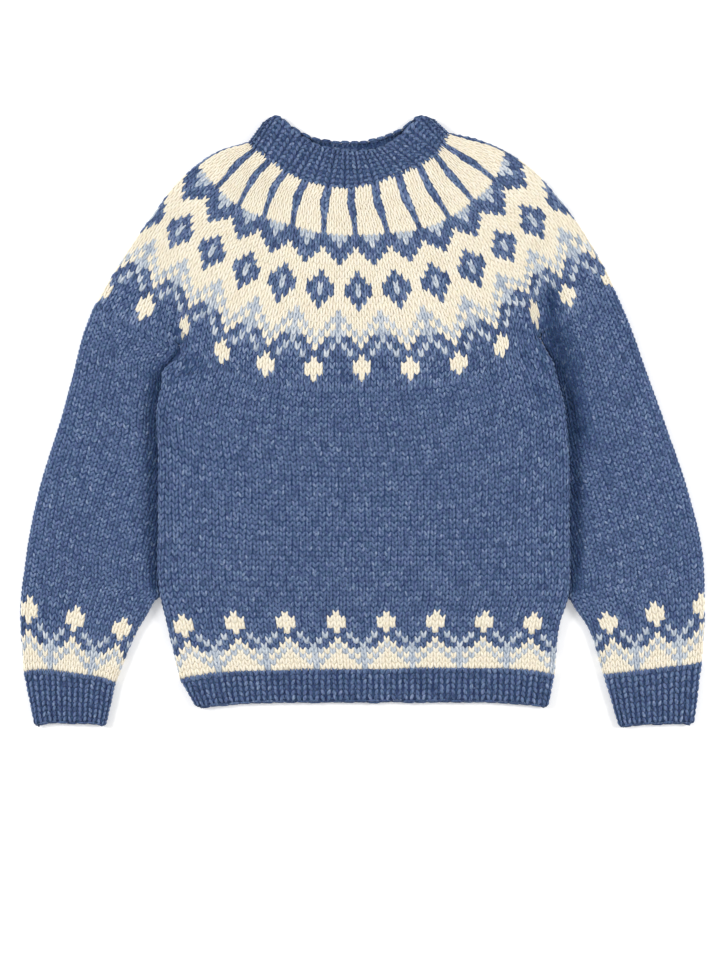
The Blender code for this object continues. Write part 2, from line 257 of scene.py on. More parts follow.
# %% Painted shade in the hollows
PaintedShadeLine = namedtuple("PaintedShadeLine", "pieces x0 y0 x1 y1 width depth")
LEFT = ("sleeve_left", "yoke")
RIGHT = ("sleeve_right", "yoke")
# Painted shade: lines along which the wool's colour is darkened, on the sleeves beside the body's folded
# edges, in the armhole creases and in the body's underarm gathers, each with a width and a strength.
PAINTED_SHADE_LINES = (
    PaintedShadeLine(LEFT, -206, 94, -205, 84, 5.0, 0.8),
    PaintedShadeLine(LEFT, -206, 80, -212, 68, 8.0, 1.0),
    PaintedShadeLine(LEFT, -214, 66, -229, 54, 7.0, 0.9),
    PaintedShadeLine(LEFT, -231, 50, -235, -55, 11.0, 0.85),
    PaintedShadeLine(LEFT, -235, -55, -235, -188, 8.5, 0.75),
    PaintedShadeLine(RIGHT, 213, 142, 218, 100, 8.5, 0.85),
    PaintedShadeLine(RIGHT, 215, 98, 230, 58, 18.0, 1.0),
    PaintedShadeLine(RIGHT, 231, 52, 241, -10, 18.0, 0.95),
    PaintedShadeLine(RIGHT, 241, -10, 241, -188, 10.0, 0.75),
    PaintedShadeLine(("body",), -199, 80, -198, 54, 1.8, 0.8),
    PaintedShadeLine(("body",), -191, 80, -189, 52, 1.8, 0.7),
    PaintedShadeLine(("body",), -183, 72, -181, 50, 1.8, 0.5),
    PaintedShadeLine(("body",), -213, 60, -211, 46, 1.8, 0.4),
    PaintedShadeLine(("body",), 188, 84, 208, 56, 1.9, 0.6),
    PaintedShadeLine(("body",), 194, 90, 214, 66, 1.9, 0.6),
    PaintedShadeLine(("body",), 182, 78, 198, 50, 1.9, 0.45),
    PaintedShadeLine(("body",), 200, 34, 208, 20, 8.0, 0.5),
)


def painted_hollow_shade(piece, x, y):
    """How much painted shade a place gets from its piece's lines of painted shade, 0 to 1."""
    total = np.zeros_like(x)
    for hollow in PAINTED_SHADE_LINES:
        if piece in hollow.pieces:
            total = np.maximum(total, hollow.depth * nearness(hollow, x, y))
    return total


# %% Curves through the tables
def smooth(stations, places, at):
    """Places on a smooth curve through those given, and straight on past both its ends."""
    stations = np.asarray(stations, float)
    places = np.asarray(places, float)
    at = np.atleast_1d(np.asarray(at, float))
    slopes = np.gradient(places, stations, axis=0)
    within = np.clip(at, stations[0], stations[-1])
    low = np.clip(np.searchsorted(stations, within, side="right") - 1, 0, len(stations) - 2)
    span = stations[low + 1] - stations[low]
    shape = (-1,) + (1,) * (places.ndim - 1)
    part = ((within - stations[low]) / span).reshape(shape)
    span = span.reshape(shape)
    rest = 1 - part
    start = (1 + 2 * part) * rest**2 * places[low] + part * rest**2 * span * slopes[low]
    end = part**2 * (3 - 2 * part) * places[low + 1] + part**2 * (part - 1) * span * slopes[low + 1]
    past = (at - within).reshape(shape)
    return start + end + past * np.where(past < 0, slopes[0], slopes[-1])


def soft_step(value):
    """0 up to 0 and 1 from 1 on, with a soft rise between."""
    value = np.clip(value, 0, 1)
    return value * value * (3 - 2 * value)


def across(row, spots):
    """Plan places of a row at spots from -1, its left fold, to 1, its right fold."""
    x = row.left_x + (row.right_x - row.left_x) * (spots + 1) / 2
    y = row.left_y + (row.right_y - row.left_y) * (spots + 1) / 2
    y = y + (row.middle_y - (row.left_y + row.right_y) / 2) * (1 - np.abs(spots) ** row.bow)
    return np.stack([x, y], axis=1)


# %% [markdown]
# ## A tube of cloth that lies flat
#
# A place on a knitted tube has two natural coordinates: how far around it lies and which round of
# knitting it is on. So each piece is kept as a net of points, with rounds one way and shares of the
# way around the other: 0 is the left fold, 1 the right fold, and from 1 to 2 the back panel runs
# back again. Anything put on the cloth asks this net for its place, and follows every bend of it.
# At the folds the wall turns over in a half circle, since thick knitting never creases sharply.

# %% From fold to fold
HALF_NET = 384                     # points of a ring from fold to fold
EDGE_SWELL = 1.8                   # the soft edge stands prouder than the solid's
EVEN = np.linspace(0, 1, HALF_NET + 1)


def lengths_along(line):
    return np.concatenate([[0.0], np.cumsum(np.linalg.norm(np.diff(line, axis=0), axis=1))])


def panel_width(line):
    return np.linalg.norm(np.diff(line, axis=0), axis=1).sum()


def arc_length(line, radius):
    """The way over one panel, from the middle of one fold to the middle of the other."""
    return panel_width(line) + (math.pi - 2) * radius


def over_panel(line, shares, radius):
    """Plan places, heights and depths in from the fold, at shares of the way over one panel."""
    along = lengths_along(line)
    width = along[-1]
    total = arc_length(line, radius)
    from_fold = np.minimum(shares, 1 - shares) * total
    turn = np.minimum(from_fold / radius, math.pi / 2)
    depth = np.where(turn < math.pi / 2, radius * (1 - np.cos(turn)),
                     from_fold - radius * (math.pi / 2 - 1))
    spots = np.where(shares < 0.5, depth, width - depth)
    x = np.interp(spots, along, line[:, 0])
    y = np.interp(spots, along, line[:, 1])
    return x, y, radius * np.sin(turn), depth


def share_of_depth(line, spots, radius):
    """The share of the way over a panel that each plan distance from its left fold stands for."""
    width = panel_width(line)
    total = arc_length(line, radius)
    depth = np.minimum(spots, width - spots)
    bent = radius * np.arccos(np.clip(1 - depth / radius, -1, 1))
    arc = np.where(depth < radius, bent, depth + radius * (math.pi / 2 - 1))
    return np.where(spots < width / 2, arc, total - arc) / total


# %% One ring of a tube
def edge_ride(depth, lift):
    """How far a fold that lies on something rides up, most at its edge."""
    return lift * np.clip(1 - depth / EDGE_REACH, 0, 1) ** 2


def ring_of(front, back, lying, lift, front_shares, back_shares):
    """Points round a flattened tube: the front from left to right, then the back again."""
    radius = lying / 2
    x, y, rise, depth = over_panel(front, front_shares, radius)
    away = np.clip(depth / EDGE_REACH, 0, 1)
    height = radius + rise + edge_ride(depth, lift) + fold_height(x, y) * away * (2 - away)
    top = np.stack([x, y, height], axis=1)
    x, y, rise, depth = over_panel(back, back_shares, radius)
    under = np.stack([x, y, radius - rise + edge_ride(depth, lift)], axis=1)
    return np.concatenate([top, under[-2:0:-1]])


# %% The net of one piece
Cloth = namedtuple("Cloth", "name net normals first rounds around")
NET_STEP = 0.5                     # of a round
MARGIN = 2.0                       # rounds that the net goes on past each end


def net_normals(net):
    across_net = np.roll(net, -1, axis=1) - np.roll(net, 1, axis=1)
    up_net = np.gradient(net, axis=0)
    normals = np.cross(across_net, up_net)
    return normals / np.linalg.norm(normals, axis=2, keepdims=True)


def make_cloth(name, rings, rounds, around):
    net = np.array(rings)
    return Cloth(name, net, net_normals(net), -MARGIN, rounds, around)


def place(cloth, around, rounds, height):
    """Points at that share around, that round and that height over the cloth's skin."""
    size = cloth.net.shape[1]
    u = (around * size / 2) % size
    left = np.floor(u).astype(int) % size
    right = (left + 1) % size
    u = (u - np.floor(u))[..., None]
    v = np.clip((rounds - cloth.first) / NET_STEP, 0, cloth.net.shape[0] - 1.001)
    low = np.floor(v).astype(int)
    v = (v - low)[..., None]

    def blended(values):
        lower = values[low, left] * (1 - u) + values[low, right] * u
        upper = values[low + 1, left] * (1 - u) + values[low + 1, right] * u
        return lower * (1 - v) + upper * v

    return blended(cloth.net) + blended(cloth.normals) * np.asarray(height)[..., None]


def net_rounds(rounds):
    return np.arange(-MARGIN, rounds + MARGIN + 0.01, NET_STEP)


# %% [markdown]
# ## The yoke and the collar
#
# The yoke is one round piece, knitted from the join of body and sleeves up to the neck. Its
# stitches fan out, so its way around is counted in pattern repeats, 12 on the front and 12 on the
# back. Rounds with colours come out taller than the table's plain ones, so a short list says where
# each counted round lies between the table's rows.

# %% Yoke and collar nets
YOKE_ROUNDS = 32
YOKE_COUNTED = (0, 4, 5, 12, 19, 22, 24, 32)
YOKE_LIE = (0.0, 5.0, 6.1, 15.0, 24.25, 27.8, 30.25, 40.0)
COLLAR_ROUNDS = 8
NET_REPEATS = np.linspace(-HALF_REPEATS, HALF_REPEATS, HALF_NET + 1)


def raised_back(front, row):
    """The back's line of a round, higher than the front's towards the neck."""
    back = front.copy()
    middle = 1 - (NET_REPEATS / HALF_REPEATS) ** 2
    back[:, 1] += BACK_NECK_RISE * (row / YOKE[-1].row) ** 2 * middle
    return back


def ring_by_repeats(front, back, lying):
    """A ring whose points keep to the repeats, however long each one lies."""
    shares = [share_of_depth(line, lengths_along(line), lying / 2) for line in (front, back)]
    return ring_of(front, back, lying, 0.0, *shares)


def around_by_repeats(repeats, rounds):
    return (repeats + HALF_REPEATS) / (2 * HALF_REPEATS)


# %% Bars between the petals
BAR_ROUNDS = (23.5, 25.0, 26.7, 28.4, 29.3, 30.1, 31.8, 33.0)
BAR_COUNTED = (0.083, 0.083, 0.088, 0.100, 0.105, 0.122, 0.125, 0.125)
BAR_LEFT = (-0.083, -0.080, -0.130, -0.205, -0.245, -0.225, -0.160, -0.150)
BAR_RIGHT = (0.083, 0.080, 0.088, 0.098, 0.102, 0.110, 0.150, 0.155)
SQUEEZED = 4                       # the repeats whose dots the armholes' hollows squeeze
SQUEEZE_HALF = 0.20                # half of the part that is squeezed
SQUEEZE_KEPT = 0.66                # of its width
SQUEEZE_TOP = 4.0                  # round up to which it is
SQUEEZE_FADE = 4.0                 # rounds over which it goes


def yoke_around(repeats, rounds):
    """Shares around the yoke, with the bars' stitches drawn wider near the collar."""
    axis = np.floor(repeats + 0.5)
    off = repeats - axis
    counted = np.interp(rounds, BAR_ROUNDS, BAR_COUNTED)
    left = np.interp(rounds, BAR_ROUNDS, BAR_LEFT)
    right = np.interp(rounds, BAR_ROUNDS, BAR_RIGHT)
    petal = (1 + left - right) / (1 - 2 * counted)
    within = left + (off + counted) / (2 * counted) * (right - left)
    after = right + (off - counted) * petal
    before = left + (off + counted) * petal
    moved = np.where(off > counted, after, np.where(off < -counted, before, within))
    moved = np.where(rounds > BAR_ROUNDS[0], moved, off)
    strength = 1 - soft_step((rounds - SQUEEZE_TOP) / SQUEEZE_FADE)
    inner = SQUEEZE_HALF * SQUEEZE_KEPT
    outer = inner + (np.abs(off) - SQUEEZE_HALF) * (0.5 - inner) / (0.5 - SQUEEZE_HALF)
    near = np.where(np.abs(off) < SQUEEZE_HALF, off * SQUEEZE_KEPT, np.sign(off) * outer)
    moved = np.where(np.abs(axis) == SQUEEZED, moved + (near - off) * strength, moved)
    return around_by_repeats(axis + moved, rounds)


ROWS_PER_ROUND = 1.25              # of the table, past both ends of the yoke

yoke_rows = [part.row for part in YOKE]
yoke_lines = np.array([smooth(STATIONS, part.places, NET_REPEATS) for part in YOKE])
rings = []
for counted in net_rounds(YOKE_ROUNDS):
    past = counted - np.clip(counted, 0, YOKE_ROUNDS)
    row = np.interp(counted, YOKE_COUNTED, YOKE_LIE) + ROWS_PER_ROUND * past
    front = smooth(yoke_rows, yoke_lines, row)[0]
    lying = LYING + (NECK_LYING - LYING) * (row / yoke_rows[-1]) ** 2
    rings.append(ring_by_repeats(front, raised_back(front, row), lying))
yoke = make_cloth("yoke", rings, YOKE_ROUNDS, yoke_around)

seam = yoke_lines[-1]
seam_back = raised_back(seam, yoke_rows[-1])
edge = smooth(STATIONS, COLLAR_EDGE_FRONT, NET_REPEATS)
edge_back = smooth(STATIONS, COLLAR_EDGE_BACK, NET_REPEATS)
rings = []
for counted in net_rounds(COLLAR_ROUNDS):
    share = counted / COLLAR_ROUNDS
    front = seam + (edge - seam) * share
    back = seam_back + (edge_back - seam_back) * share
    rings.append(ring_by_repeats(front, back, NECK_LYING))
collar = make_cloth("collar_rib", rings, COLLAR_ROUNDS, around_by_repeats)
print("yoke net", yoke.net.shape, "collar net", collar.net.shape)

# %% [markdown]
# ## The body and the sleeves
#
# The body has 128 stitches all round, the same from hem to yoke. A sleeve has 40 at the cuff and
# more above it, counted from its outer fold, and its inner stitches run in under the body. Near
# the yoke the stitches shift over a little, so that each column goes on into a column of the yoke.

# %% Body net
BODY_ROUNDS = 56
BODY_HALF = 64
BAND_TOP = 11.4                    # rounds up to the top of the dots of the patterned band
BODY_BAND_LIE = -214.0             # the height where those dots end
CENTRE_SHIFT = 0.65                # columns that the middle of the front has slid to the right
BLEND_ROUNDS = 16.0                # over which the columns shift to meet the yoke's
BODY_WIDTH = 452.0                 # at the armpits
Notch = namedtuple("Notch", "side y tall push")
NOTCHES = (Notch(-1, 75, 8, 8.0), Notch(-1, 55, 9, -4.0), Notch(1, 66, 8, 2.0))
NOTCH_WIDE = 22.0                  # the underarm's folded corner reaches this far into the front


def part_of_join(left, right):
    """The stretch of the joining round between two places across, and its repeats."""
    join = yoke_lines[0]
    inside = (join[:, 0] > left) & (join[:, 0] < right)
    x = np.concatenate([[left], join[inside, 0], [right]])
    line = np.stack([x, np.interp(x, join[:, 0], join[:, 1])], axis=1)
    return line, np.interp(x, join[:, 0], NET_REPEATS)


def spots_of(line):
    return 2 * (line[:, 0] - line[0, 0]) / (line[-1, 0] - line[0, 0]) - 1


def panel_curves(rows, join_line):
    """Stations, lines and lifts of a piece's table rows and its part of the joining round."""
    spots = spots_of(join_line)
    lines = np.array([across(row, spots) for row in rows] + [join_line])
    stations = np.array([row.middle_y for row in rows] + [join_line[:, 1].mean()])
    lifts = np.array([row.lift for row in rows] + [0.0])
    return stations, lines, lifts


def column_shares(join_line, repeats, first_repeat, way):
    """Where columns would lie on the joining round if each met its own column of the yoke."""
    shares = share_of_depth(join_line, lengths_along(join_line), LYING / 2)
    columns = (repeats - first_repeat) * 8 * way
    order = np.argsort(columns)
    return columns[order], (shares if way > 0 else 1 - shares)[order]


half_gap = UNDERARM_GAP / 2
body_join, body_repeats = part_of_join(UNDERARM_LEFT + half_gap, UNDERARM_RIGHT - half_gap)
body_stations, body_lines, body_lifts = panel_curves(BODY, body_join)
body_fine = np.linspace(body_stations[0], body_stations[-1], 160)
body_lines = smooth(body_stations, body_lines, body_fine)
body_lifts = smooth(body_stations, body_lifts * EDGE_SWELL, body_fine)
body_stations = body_fine
body_columns, body_shares = column_shares(body_join, body_repeats, -4, 1)


def notch_push(side, y):
    """How far the folded underarm corners move that side's fold at a height, in mm."""
    push = np.zeros(len(y))
    for notch in NOTCHES:
        if notch.side == side:
            push += notch.push * np.exp(-(((y - notch.y) / notch.tall) ** 2))
    return push


def body_even(columns, rounds):
    """Columns run from 0, the left fold, to 64, the right one, and on round the back."""
    folded = np.where(columns > BODY_HALF, 2 * BODY_HALF - columns, columns)
    meeting = np.interp(folded, body_columns, body_shares)
    upper = soft_step(1 + (rounds - BODY_ROUNDS) / BLEND_ROUNDS)
    even = (folded + CENTRE_SHIFT * np.sin(math.pi * folded / BODY_HALF)) / BODY_HALF
    share = even * (1 - upper) + np.clip(meeting, 0, 1) * upper
    return np.where(columns > BODY_HALF, 2 - share, share)


def body_around(columns, rounds):
    """The same, but the front's columns run straight on under the left underarm's folded corner."""
    share = body_even(columns, rounds)
    slid = np.interp(rounds, net_rounds(BODY_ROUNDS), body_slide) / BODY_WIDTH
    slid = slid * np.exp(-((share * BODY_WIDTH / NOTCH_WIDE) ** 2))
    return np.where(columns > BODY_HALF, share, share - slid)


def panel_rings(stations, lines, lifts, band_lie, rounds):
    """Rings of a tube whose rounds lie level in its band and spread evenly up each column above."""
    fine = np.linspace(stations[0], stations[-1], 120)
    paths = smooth(stations, lines, fine)
    steps = np.linalg.norm(np.diff(paths, axis=0), axis=2)
    lengths = np.concatenate([np.zeros((1, paths.shape[1])), np.cumsum(steps, axis=0)])
    spots = range(paths.shape[1])
    band = np.array([np.interp(band_lie, fine, lengths[:, spot]) for spot in spots])
    middle = (lengths[:, 0] + lengths[:, -1]) / 2
    rings = []
    for counted in net_rounds(rounds):
        above = (counted - BAND_TOP) / (rounds - BAND_TOP)
        wanted = band + (lengths[-1] - band) * above if above > 0 else band * counted / BAND_TOP
        line = np.array([smooth(lengths[:, spot], paths[:, spot], wanted[spot])[0] for spot in spots])
        station = np.interp((wanted[0] + wanted[-1]) / 2, middle, fine)
        lift = smooth(stations, lifts, station)[0]
        rings.append(ring_of(line, line, LYING, lift, EVEN, EVEN))
    return rings


body_rings = np.array(panel_rings(body_stations, body_lines, body_lifts, BODY_BAND_LIE, BODY_ROUNDS))
body_slide = np.maximum(notch_push(-1, body_rings[:, 0, 1]), 0)
for side, spot, end in ((-1, 0, 0), (1, HALF_NET, -1)):
    fold_at = body_rings[:, spot].copy()
    near = np.exp(-(((body_rings[..., 0] - fold_at[:, :1]) / NOTCH_WIDE) ** 2))
    body_rings[..., 0] += notch_push(side, fold_at[:, 1])[:, None] * near
    body_lines[:, end, 0] += notch_push(side, body_lines[:, end, 1])
body = make_cloth("body", body_rings, BODY_ROUNDS, body_around)
print("body net", body.net.shape)

# %% Sleeve nets
SLEEVE_ROUNDS = 73
PRESSED = 0.46                     # how much of its height the sleeve loses under the body's edge
PRESSED_FLAT = 9.0                 # this far in from the fold it lies lowest
PRESSED_WIDTH = 26.0               # and over this width it rises again
PRESSED_FROM = 16                  # round from which it is pressed
PRESSED_FADES = (10, 6)            # rounds over which that begins and ends
# Columns on one side at each row of the table and at the join
SLEEVE_COLUMNS = (20.0, 21.0, 21.6, 19.3, 15.7, 15.0, 14.9, 16.0)
Sleeve = namedtuple("Sleeve", "cloth columns_at")


def beside_body(lines, fold, end):
    """Sleeve lines with their inner end, 0 or -1, laid along the body's folded edge."""
    lines = np.array(lines)
    away = UNDERARM_GAP - TUCK
    away = away if end == 0 else -away
    for line in lines[:-1]:
        if line[end, 1] > CROTCH_Y:
            share = (spots_of(line) + 1) / 2
            share = 1 - share if end == 0 else share
            wanted = np.interp(line[end, 1], fold[:, 1], fold[:, 0]) + away
            line[:, 0] += share * (wanted - line[end, 0])
    return lines


def press_inner_side(tube, end):
    """Flattens the side of a sleeve that the body's edge lies on."""
    over = np.concatenate([EVEN, EVEN[-2:0:-1]])
    rounds = net_rounds(SLEEVE_ROUNDS)
    widths = np.linalg.norm(tube[:, 0] - tube[:, HALF_NET], axis=1)
    inward = (1 - over if end == -1 else over)[None] * widths[:, None]
    near = 1 - soft_step((inward - PRESSED_FLAT) / PRESSED_WIDTH)
    begin = soft_step((rounds - PRESSED_FROM) / PRESSED_FADES[0])
    end_fade = soft_step((SLEEVE_ROUNDS + 1 - rounds) / PRESSED_FADES[1])
    tube[..., 2] *= 1 - PRESSED * near * (begin * end_fade)[:, None]


def make_sleeve(name, rows, left, right, end, first_repeat, band_lie):
    """A sleeve whose inner fold is at that end of its lines, counted from its outer fold."""
    way = 1 if end == -1 else -1
    join_line, repeats = part_of_join(left, right)
    stations, lines, lifts = panel_curves(rows, join_line)
    fine = np.linspace(stations[0], stations[-1], 60)
    lines = smooth(stations, lines, fine)
    columns_fine = smooth(stations, SLEEVE_COLUMNS, fine)
    body_heights = np.linspace(body_stations[0], body_stations[-1], 240)
    body_fold = smooth(body_stations, body_lines, body_heights)[:, -1 - end]
    lines = beside_body(lines, body_fold, end)
    tube = np.array(panel_rings(fine, lines, np.zeros(len(fine)), band_lie, SLEEVE_ROUNDS))
    press_inner_side(tube, end)
    meeting_columns, meeting_shares = column_shares(join_line, repeats, first_repeat, way)
    counted = np.arange(SLEEVE_ROUNDS + 1)
    stations_at = np.interp(counted, (0, BAND_TOP, SLEEVE_ROUNDS), (stations[0], band_lie, stations[-1]))
    counts = np.interp(stations_at, fine, columns_fine)

    def columns_at(rounds):
        return np.interp(rounds, counted, counts)

    def around(columns, rounds):
        count = np.abs(columns)
        meeting = np.interp(count, meeting_columns, meeting_shares)
        upper = soft_step(1 + (rounds - SLEEVE_ROUNDS) / BLEND_ROUNDS)
        share = count / columns_at(rounds) * (1 - upper) + meeting * upper
        return share * np.sign(columns) if way > 0 else 1 + share * np.sign(columns)

    return Sleeve(make_cloth(name, tube, SLEEVE_ROUNDS, around), columns_at)


join_ends = yoke_lines[0][0, 0], yoke_lines[0][-1, 0]
sleeve_left = make_sleeve("sleeve_left", LEFT_SLEEVE, join_ends[0], UNDERARM_LEFT + half_gap,
                          -1, -6, -210.0)
sleeve_right = make_sleeve("sleeve_right", RIGHT_SLEEVE, UNDERARM_RIGHT - half_gap, join_ends[1],
                           0, 6, -206.0)
print("sleeve columns on one side:", np.round(sleeve_left.columns_at(np.arange(0, 65, 8)), 1))

# %% Nets of the ribbed hem and cuffs
HEM_ROUNDS = 6
CUFF_ROUNDS = 10
CUFF_HALF = 17
LEANING = 45.0                     # how far in from a fold the ribs lean with it


def make_band(name, rows, rounds, half_columns):
    """A ribbed band, its round 0 at the open edge and its last one at the seam."""
    spots = np.linspace(-1, 1, 97)
    lower, upper = (across(row, spots) for row in rows)
    rings = []
    for counted in net_rounds(rounds):
        line = lower + (upper - lower) * counted / rounds
        rings.append(ring_of(line, line, LYING, 0.0, EVEN, EVEN))
    left = lower[0, 0] - upper[0, 0]
    right = lower[-1, 0] - upper[-1, 0]
    width = upper[-1, 0] - upper[0, 0]

    def around(columns, counted):
        """The ribs stand upright in the middle and lean only near the folds."""
        share = columns / half_columns
        folded = np.where(share > 1, 2 - share, share)
        lean_left = left * np.exp(-folded * width / LEANING)
        lean_right = right * np.exp(-(1 - folded) * width / LEANING)
        at_edge = (folded * width + lean_left + lean_right - left) / (width + right - left)
        part = np.clip(1 - counted / rounds, -0.2, 1.2)
        moved = folded + (np.clip(at_edge, 0, 1) - folded) * part
        return np.where(share > 1, 2 - moved, moved)

    return make_cloth(name, rings, rounds, around)


hem = make_band("hem_rib", HEM, HEM_ROUNDS, BODY_HALF)
cuff_left = make_band("cuff_left", LEFT_CUFF, CUFF_ROUNDS, CUFF_HALF)
cuff_right = make_band("cuff_right", RIGHT_CUFF, CUFF_ROUNDS, CUFF_HALF)
print("hem net", hem.net.shape, "cuff nets", cuff_left.net.shape)

# %% [markdown]
# ## The pattern
#
# Stranded knitting is a chart: one letter for each stitch of a repeat and one line for each round,
# b for blue, l for light blue and c for cream. The yoke's chart starts at the stitch on a dot's
# axis. It has 8 stitches a repeat at the join, and decreases draw it in to 7, 6, 5 and 4, which is
# how a round yoke gets narrower towards the neck. The hem and the cuffs have the same motif upside
# down, on 8 stitches.

# %% Charts
YOKE_CHART = (
    "bbbbbbbb", "cbbbbbbb", "ccbbbbbc", "ccbbbbbc", "cbbbbbbb",
    "bblbbblb", "cbblblbb", "lcbblbbc", "clclllcl", "cclclclc", "ccclllcc", "cccclccc",
    "bcccccc", "bbccccb", "lbbccbb", "lbbccbb", "bbccccb", "bcccccc", "ccccccc",
    "cccbcc", "ccbbbc", "cbbbbb", "bbblbb", "bblllb",
    "bccccc", "bccccc", "bccccc", "bcccc", "bcccc", "bcccc", "bccc", "bccc",
)
BAND_CHART = (
    "cccclccc", "ccclllcc", "cclclclc", "clclllcl", "lcbblbbc", "cbblblbb", "bblbbblb",
    "cbbbbbbb", "ccbbbbbc", "ccbbbbbc", "cbbbbbbb",
)
KINDS = {"b": 0.0, "l": 0.5, "c": 1.0}
BODY_DOT = 3                       # the body's column with the first dot of its band
LEFT_DOT = 2
RIGHT_DOT = 1


def band_kind(columns, number, dot):
    """The yarn of each stitch of a round of a hem's or cuff's piece, by its column."""
    if number >= len(BAND_CHART):
        return np.zeros(len(columns))
    letters = np.array([KINDS[letter] for letter in BAND_CHART[number]])
    return letters[(columns - dot) % 8]


print("yoke rounds charted:", len(YOKE_CHART), "band rounds:", len(BAND_CHART))

# %% [markdown]
# ## A stitch
#
# A knit stitch shows as two strands that lean out from one point like a V. Each strand dips under
# the stitch above at its top and comes out from between the strands of the stitch below at its
# foot. So a strand here is a leaf of yarn: closed, pointed at both ends, highest in the middle, and
# nearly one and a half rounds long so that the rounds nest. Four points across and three rings
# along are enough, because shading makes it look round. The back panel, which lies on the floor,
# gets a lighter leaf with fewer points.

# %% Leaf of yarn
Leaf = namedtuple("Leaf", "points corners starts uv")


def make_leaf(spine, section, sideways=(1.0, 0.0)):
    """A closed strand through rings of (across, up, half width, height, thickness), tips included.

    Across and up count in columns and rounds, heights in millimetres over the cloth's skin.
    Section points are (side, drop): a side from -1 to 1 and a share of the thickness to go down.
    """
    tip, *rings, top = spine
    points = [(tip[0], tip[1], tip[3])]
    for centre, up, half, height, thick in rings:
        for side, drop in section:
            points.append((centre + side * half * sideways[0], up + side * half * sideways[1],
                           height - drop * thick))
    points.append((top[0], top[1], top[3]))
    size = len(section)
    corners, starts, uv = [], [], []
    shares = np.linspace(0.03, 0.97, size + 1)
    heights = np.linspace(0.03, 0.97, len(rings) + 2)

    def face(*items):
        starts.append(len(corners))
        for index, u, v in items:
            corners.append(index)
            uv.append((u, v))

    for side in range(size):
        after = (side + 1) % size
        left, right = shares[side], shares[side + 1]
        middle = (left + right) / 2
        face((1 + after, right, heights[1]), (1 + side, left, heights[1]), (0, middle, heights[0]))
        for ring in range(len(rings) - 1):
            low, high = 1 + ring * size, 1 + (ring + 1) * size
            face((low + side, left, heights[ring + 1]), (low + after, right, heights[ring + 1]),
                 (high + after, right, heights[ring + 2]), (high + side, left, heights[ring + 2]))
        last = 1 + (len(rings) - 1) * size
        face((last + side, left, heights[-2]), (last + after, right, heights[-2]),
             (len(points) - 1, middle, heights[-1]))
    return Leaf(np.array(points), np.array(corners), np.array(starts), np.array(uv))


# %% The strands of a knit stitch
ROUND_SECTION = ((-1.0, 1.0), (-0.5, 0.15), (0.5, 0.15), (1.0, 1.0))
PLAIN_SECTION = ((-1.0, 1.0), (0.0, 0.0), (1.0, 1.0))
KNIT_SPINE = (
    (0.03, 0.00, 0.00, -1.7, 0.0),
    (0.12, 0.25, 0.190, -0.45, 1.2),
    (0.245, 0.70, 0.255, 0.12, 1.6),
    (0.345, 1.12, 0.180, -0.80, 1.2),
    (0.42, 1.45, 0.00, -2.2, 0.0),
)
PATTERN_SPINE = (
    (0.03, 0.00, 0.00, -1.5, 0.0),
    (0.13, 0.27, 0.215, -0.25, 1.2),
    (0.255, 0.78, 0.265, 0.05, 1.5),
    (0.355, 1.26, 0.180, -0.50, 1.2),
    (0.42, 1.62, 0.00, -1.8, 0.0),
)
BACK_SPINE = (
    (0.03, 0.00, 0.00, -1.7, 0.0),
    (0.16, 0.42, 0.24, -0.10, 1.4),
    (0.31, 1.02, 0.23, -0.35, 1.4),
    (0.42, 1.45, 0.00, -2.2, 0.0),
)


def turned_order(leaf):
    """The order of a leaf's corners that turns every face round."""
    ends = list(leaf.starts[1:]) + [len(leaf.corners)]
    return np.concatenate([np.arange(start, end)[::-1] for start, end in zip(leaf.starts, ends)])


def strand_pair(spine, section=ROUND_SECTION):
    """The left and right strands of a V, mirror images that both face out."""
    leaf = make_leaf(spine, section)
    order = turned_order(leaf)
    uv = leaf.uv[order] * (-1, 1) + (1, 0)
    return Leaf(leaf.points * (-1, 1, 1), leaf.corners[order], leaf.starts, uv), leaf


KNIT = strand_pair(KNIT_SPINE)
PATTERN = strand_pair(PATTERN_SPINE)
KNIT_BACK = strand_pair(BACK_SPINE, PLAIN_SECTION)
print("corners of one strand:", len(KNIT[0].corners), "and on the back", len(KNIT_BACK[0].corners))

# %% [markdown]
# ## Laying the stitches
#
# One function lays any list of stitches on a cloth. It places every point of every strand at once
# with arrays, moves each stitch by a hair at random, since no hand knits evenly, and keeps for each
# strand its yarn, a tone of its own and how much painted shade it gets in a hollow, as a colour
# attribute for the material. Each strand also gets a small patch of the texture map, its own outside the
# ribbing.

# %% Lists of stitches
Stitches = namedtuple("Stitches", "columns rounds widths kinds cell_x cell_width cell_y cell_height")
dice = np.random.default_rng(11)


def stitch_list(rows):
    """One list from the stitches of several rounds."""
    whole = []
    for items in zip(*rows):
        whole.append(np.concatenate([np.asarray(item, float) for item in items]))
    return Stitches(*whole)


def stitch_row(columns, number, width, kinds, rounds, cell=None, cells_x=None, cells=None):
    """One round of stitches, and the cells of the texture map that they get.

    There is a row of cells for each round and for one more at each end. A round that isn't whole
    names its row as cell. The cells of a row are as many as its stitches, unless they are given.
    """
    count = len(columns)
    same = np.ones(count)
    cell = number if cell is None else cell
    cells_x = np.arange(count) if cells_x is None else cells_x
    cells = cells or count
    return (columns, number * same, width * same, kinds * same, cells_x / cells, same / cells,
            (cell + 1) / (rounds + 2) * same, same / (rounds + 2))


# %% Laying them
RESTING = 0.03                     # the lowest that wool on the underside may lie
STITCH_MIDDLE = 0.7                # rounds from a stitch's foot to its middle
YARN_SHIFTS = 7                    # strands' lengths over which the twist begins at random
LINING_DEPTH = 2.5                 # from the cloth's skin to its lining side
LINING_LIFT = 1.4                  # and on from there to the ground of the strands on that side
Strands = namedtuple("Strands", "points corners starts uv yarn marks")


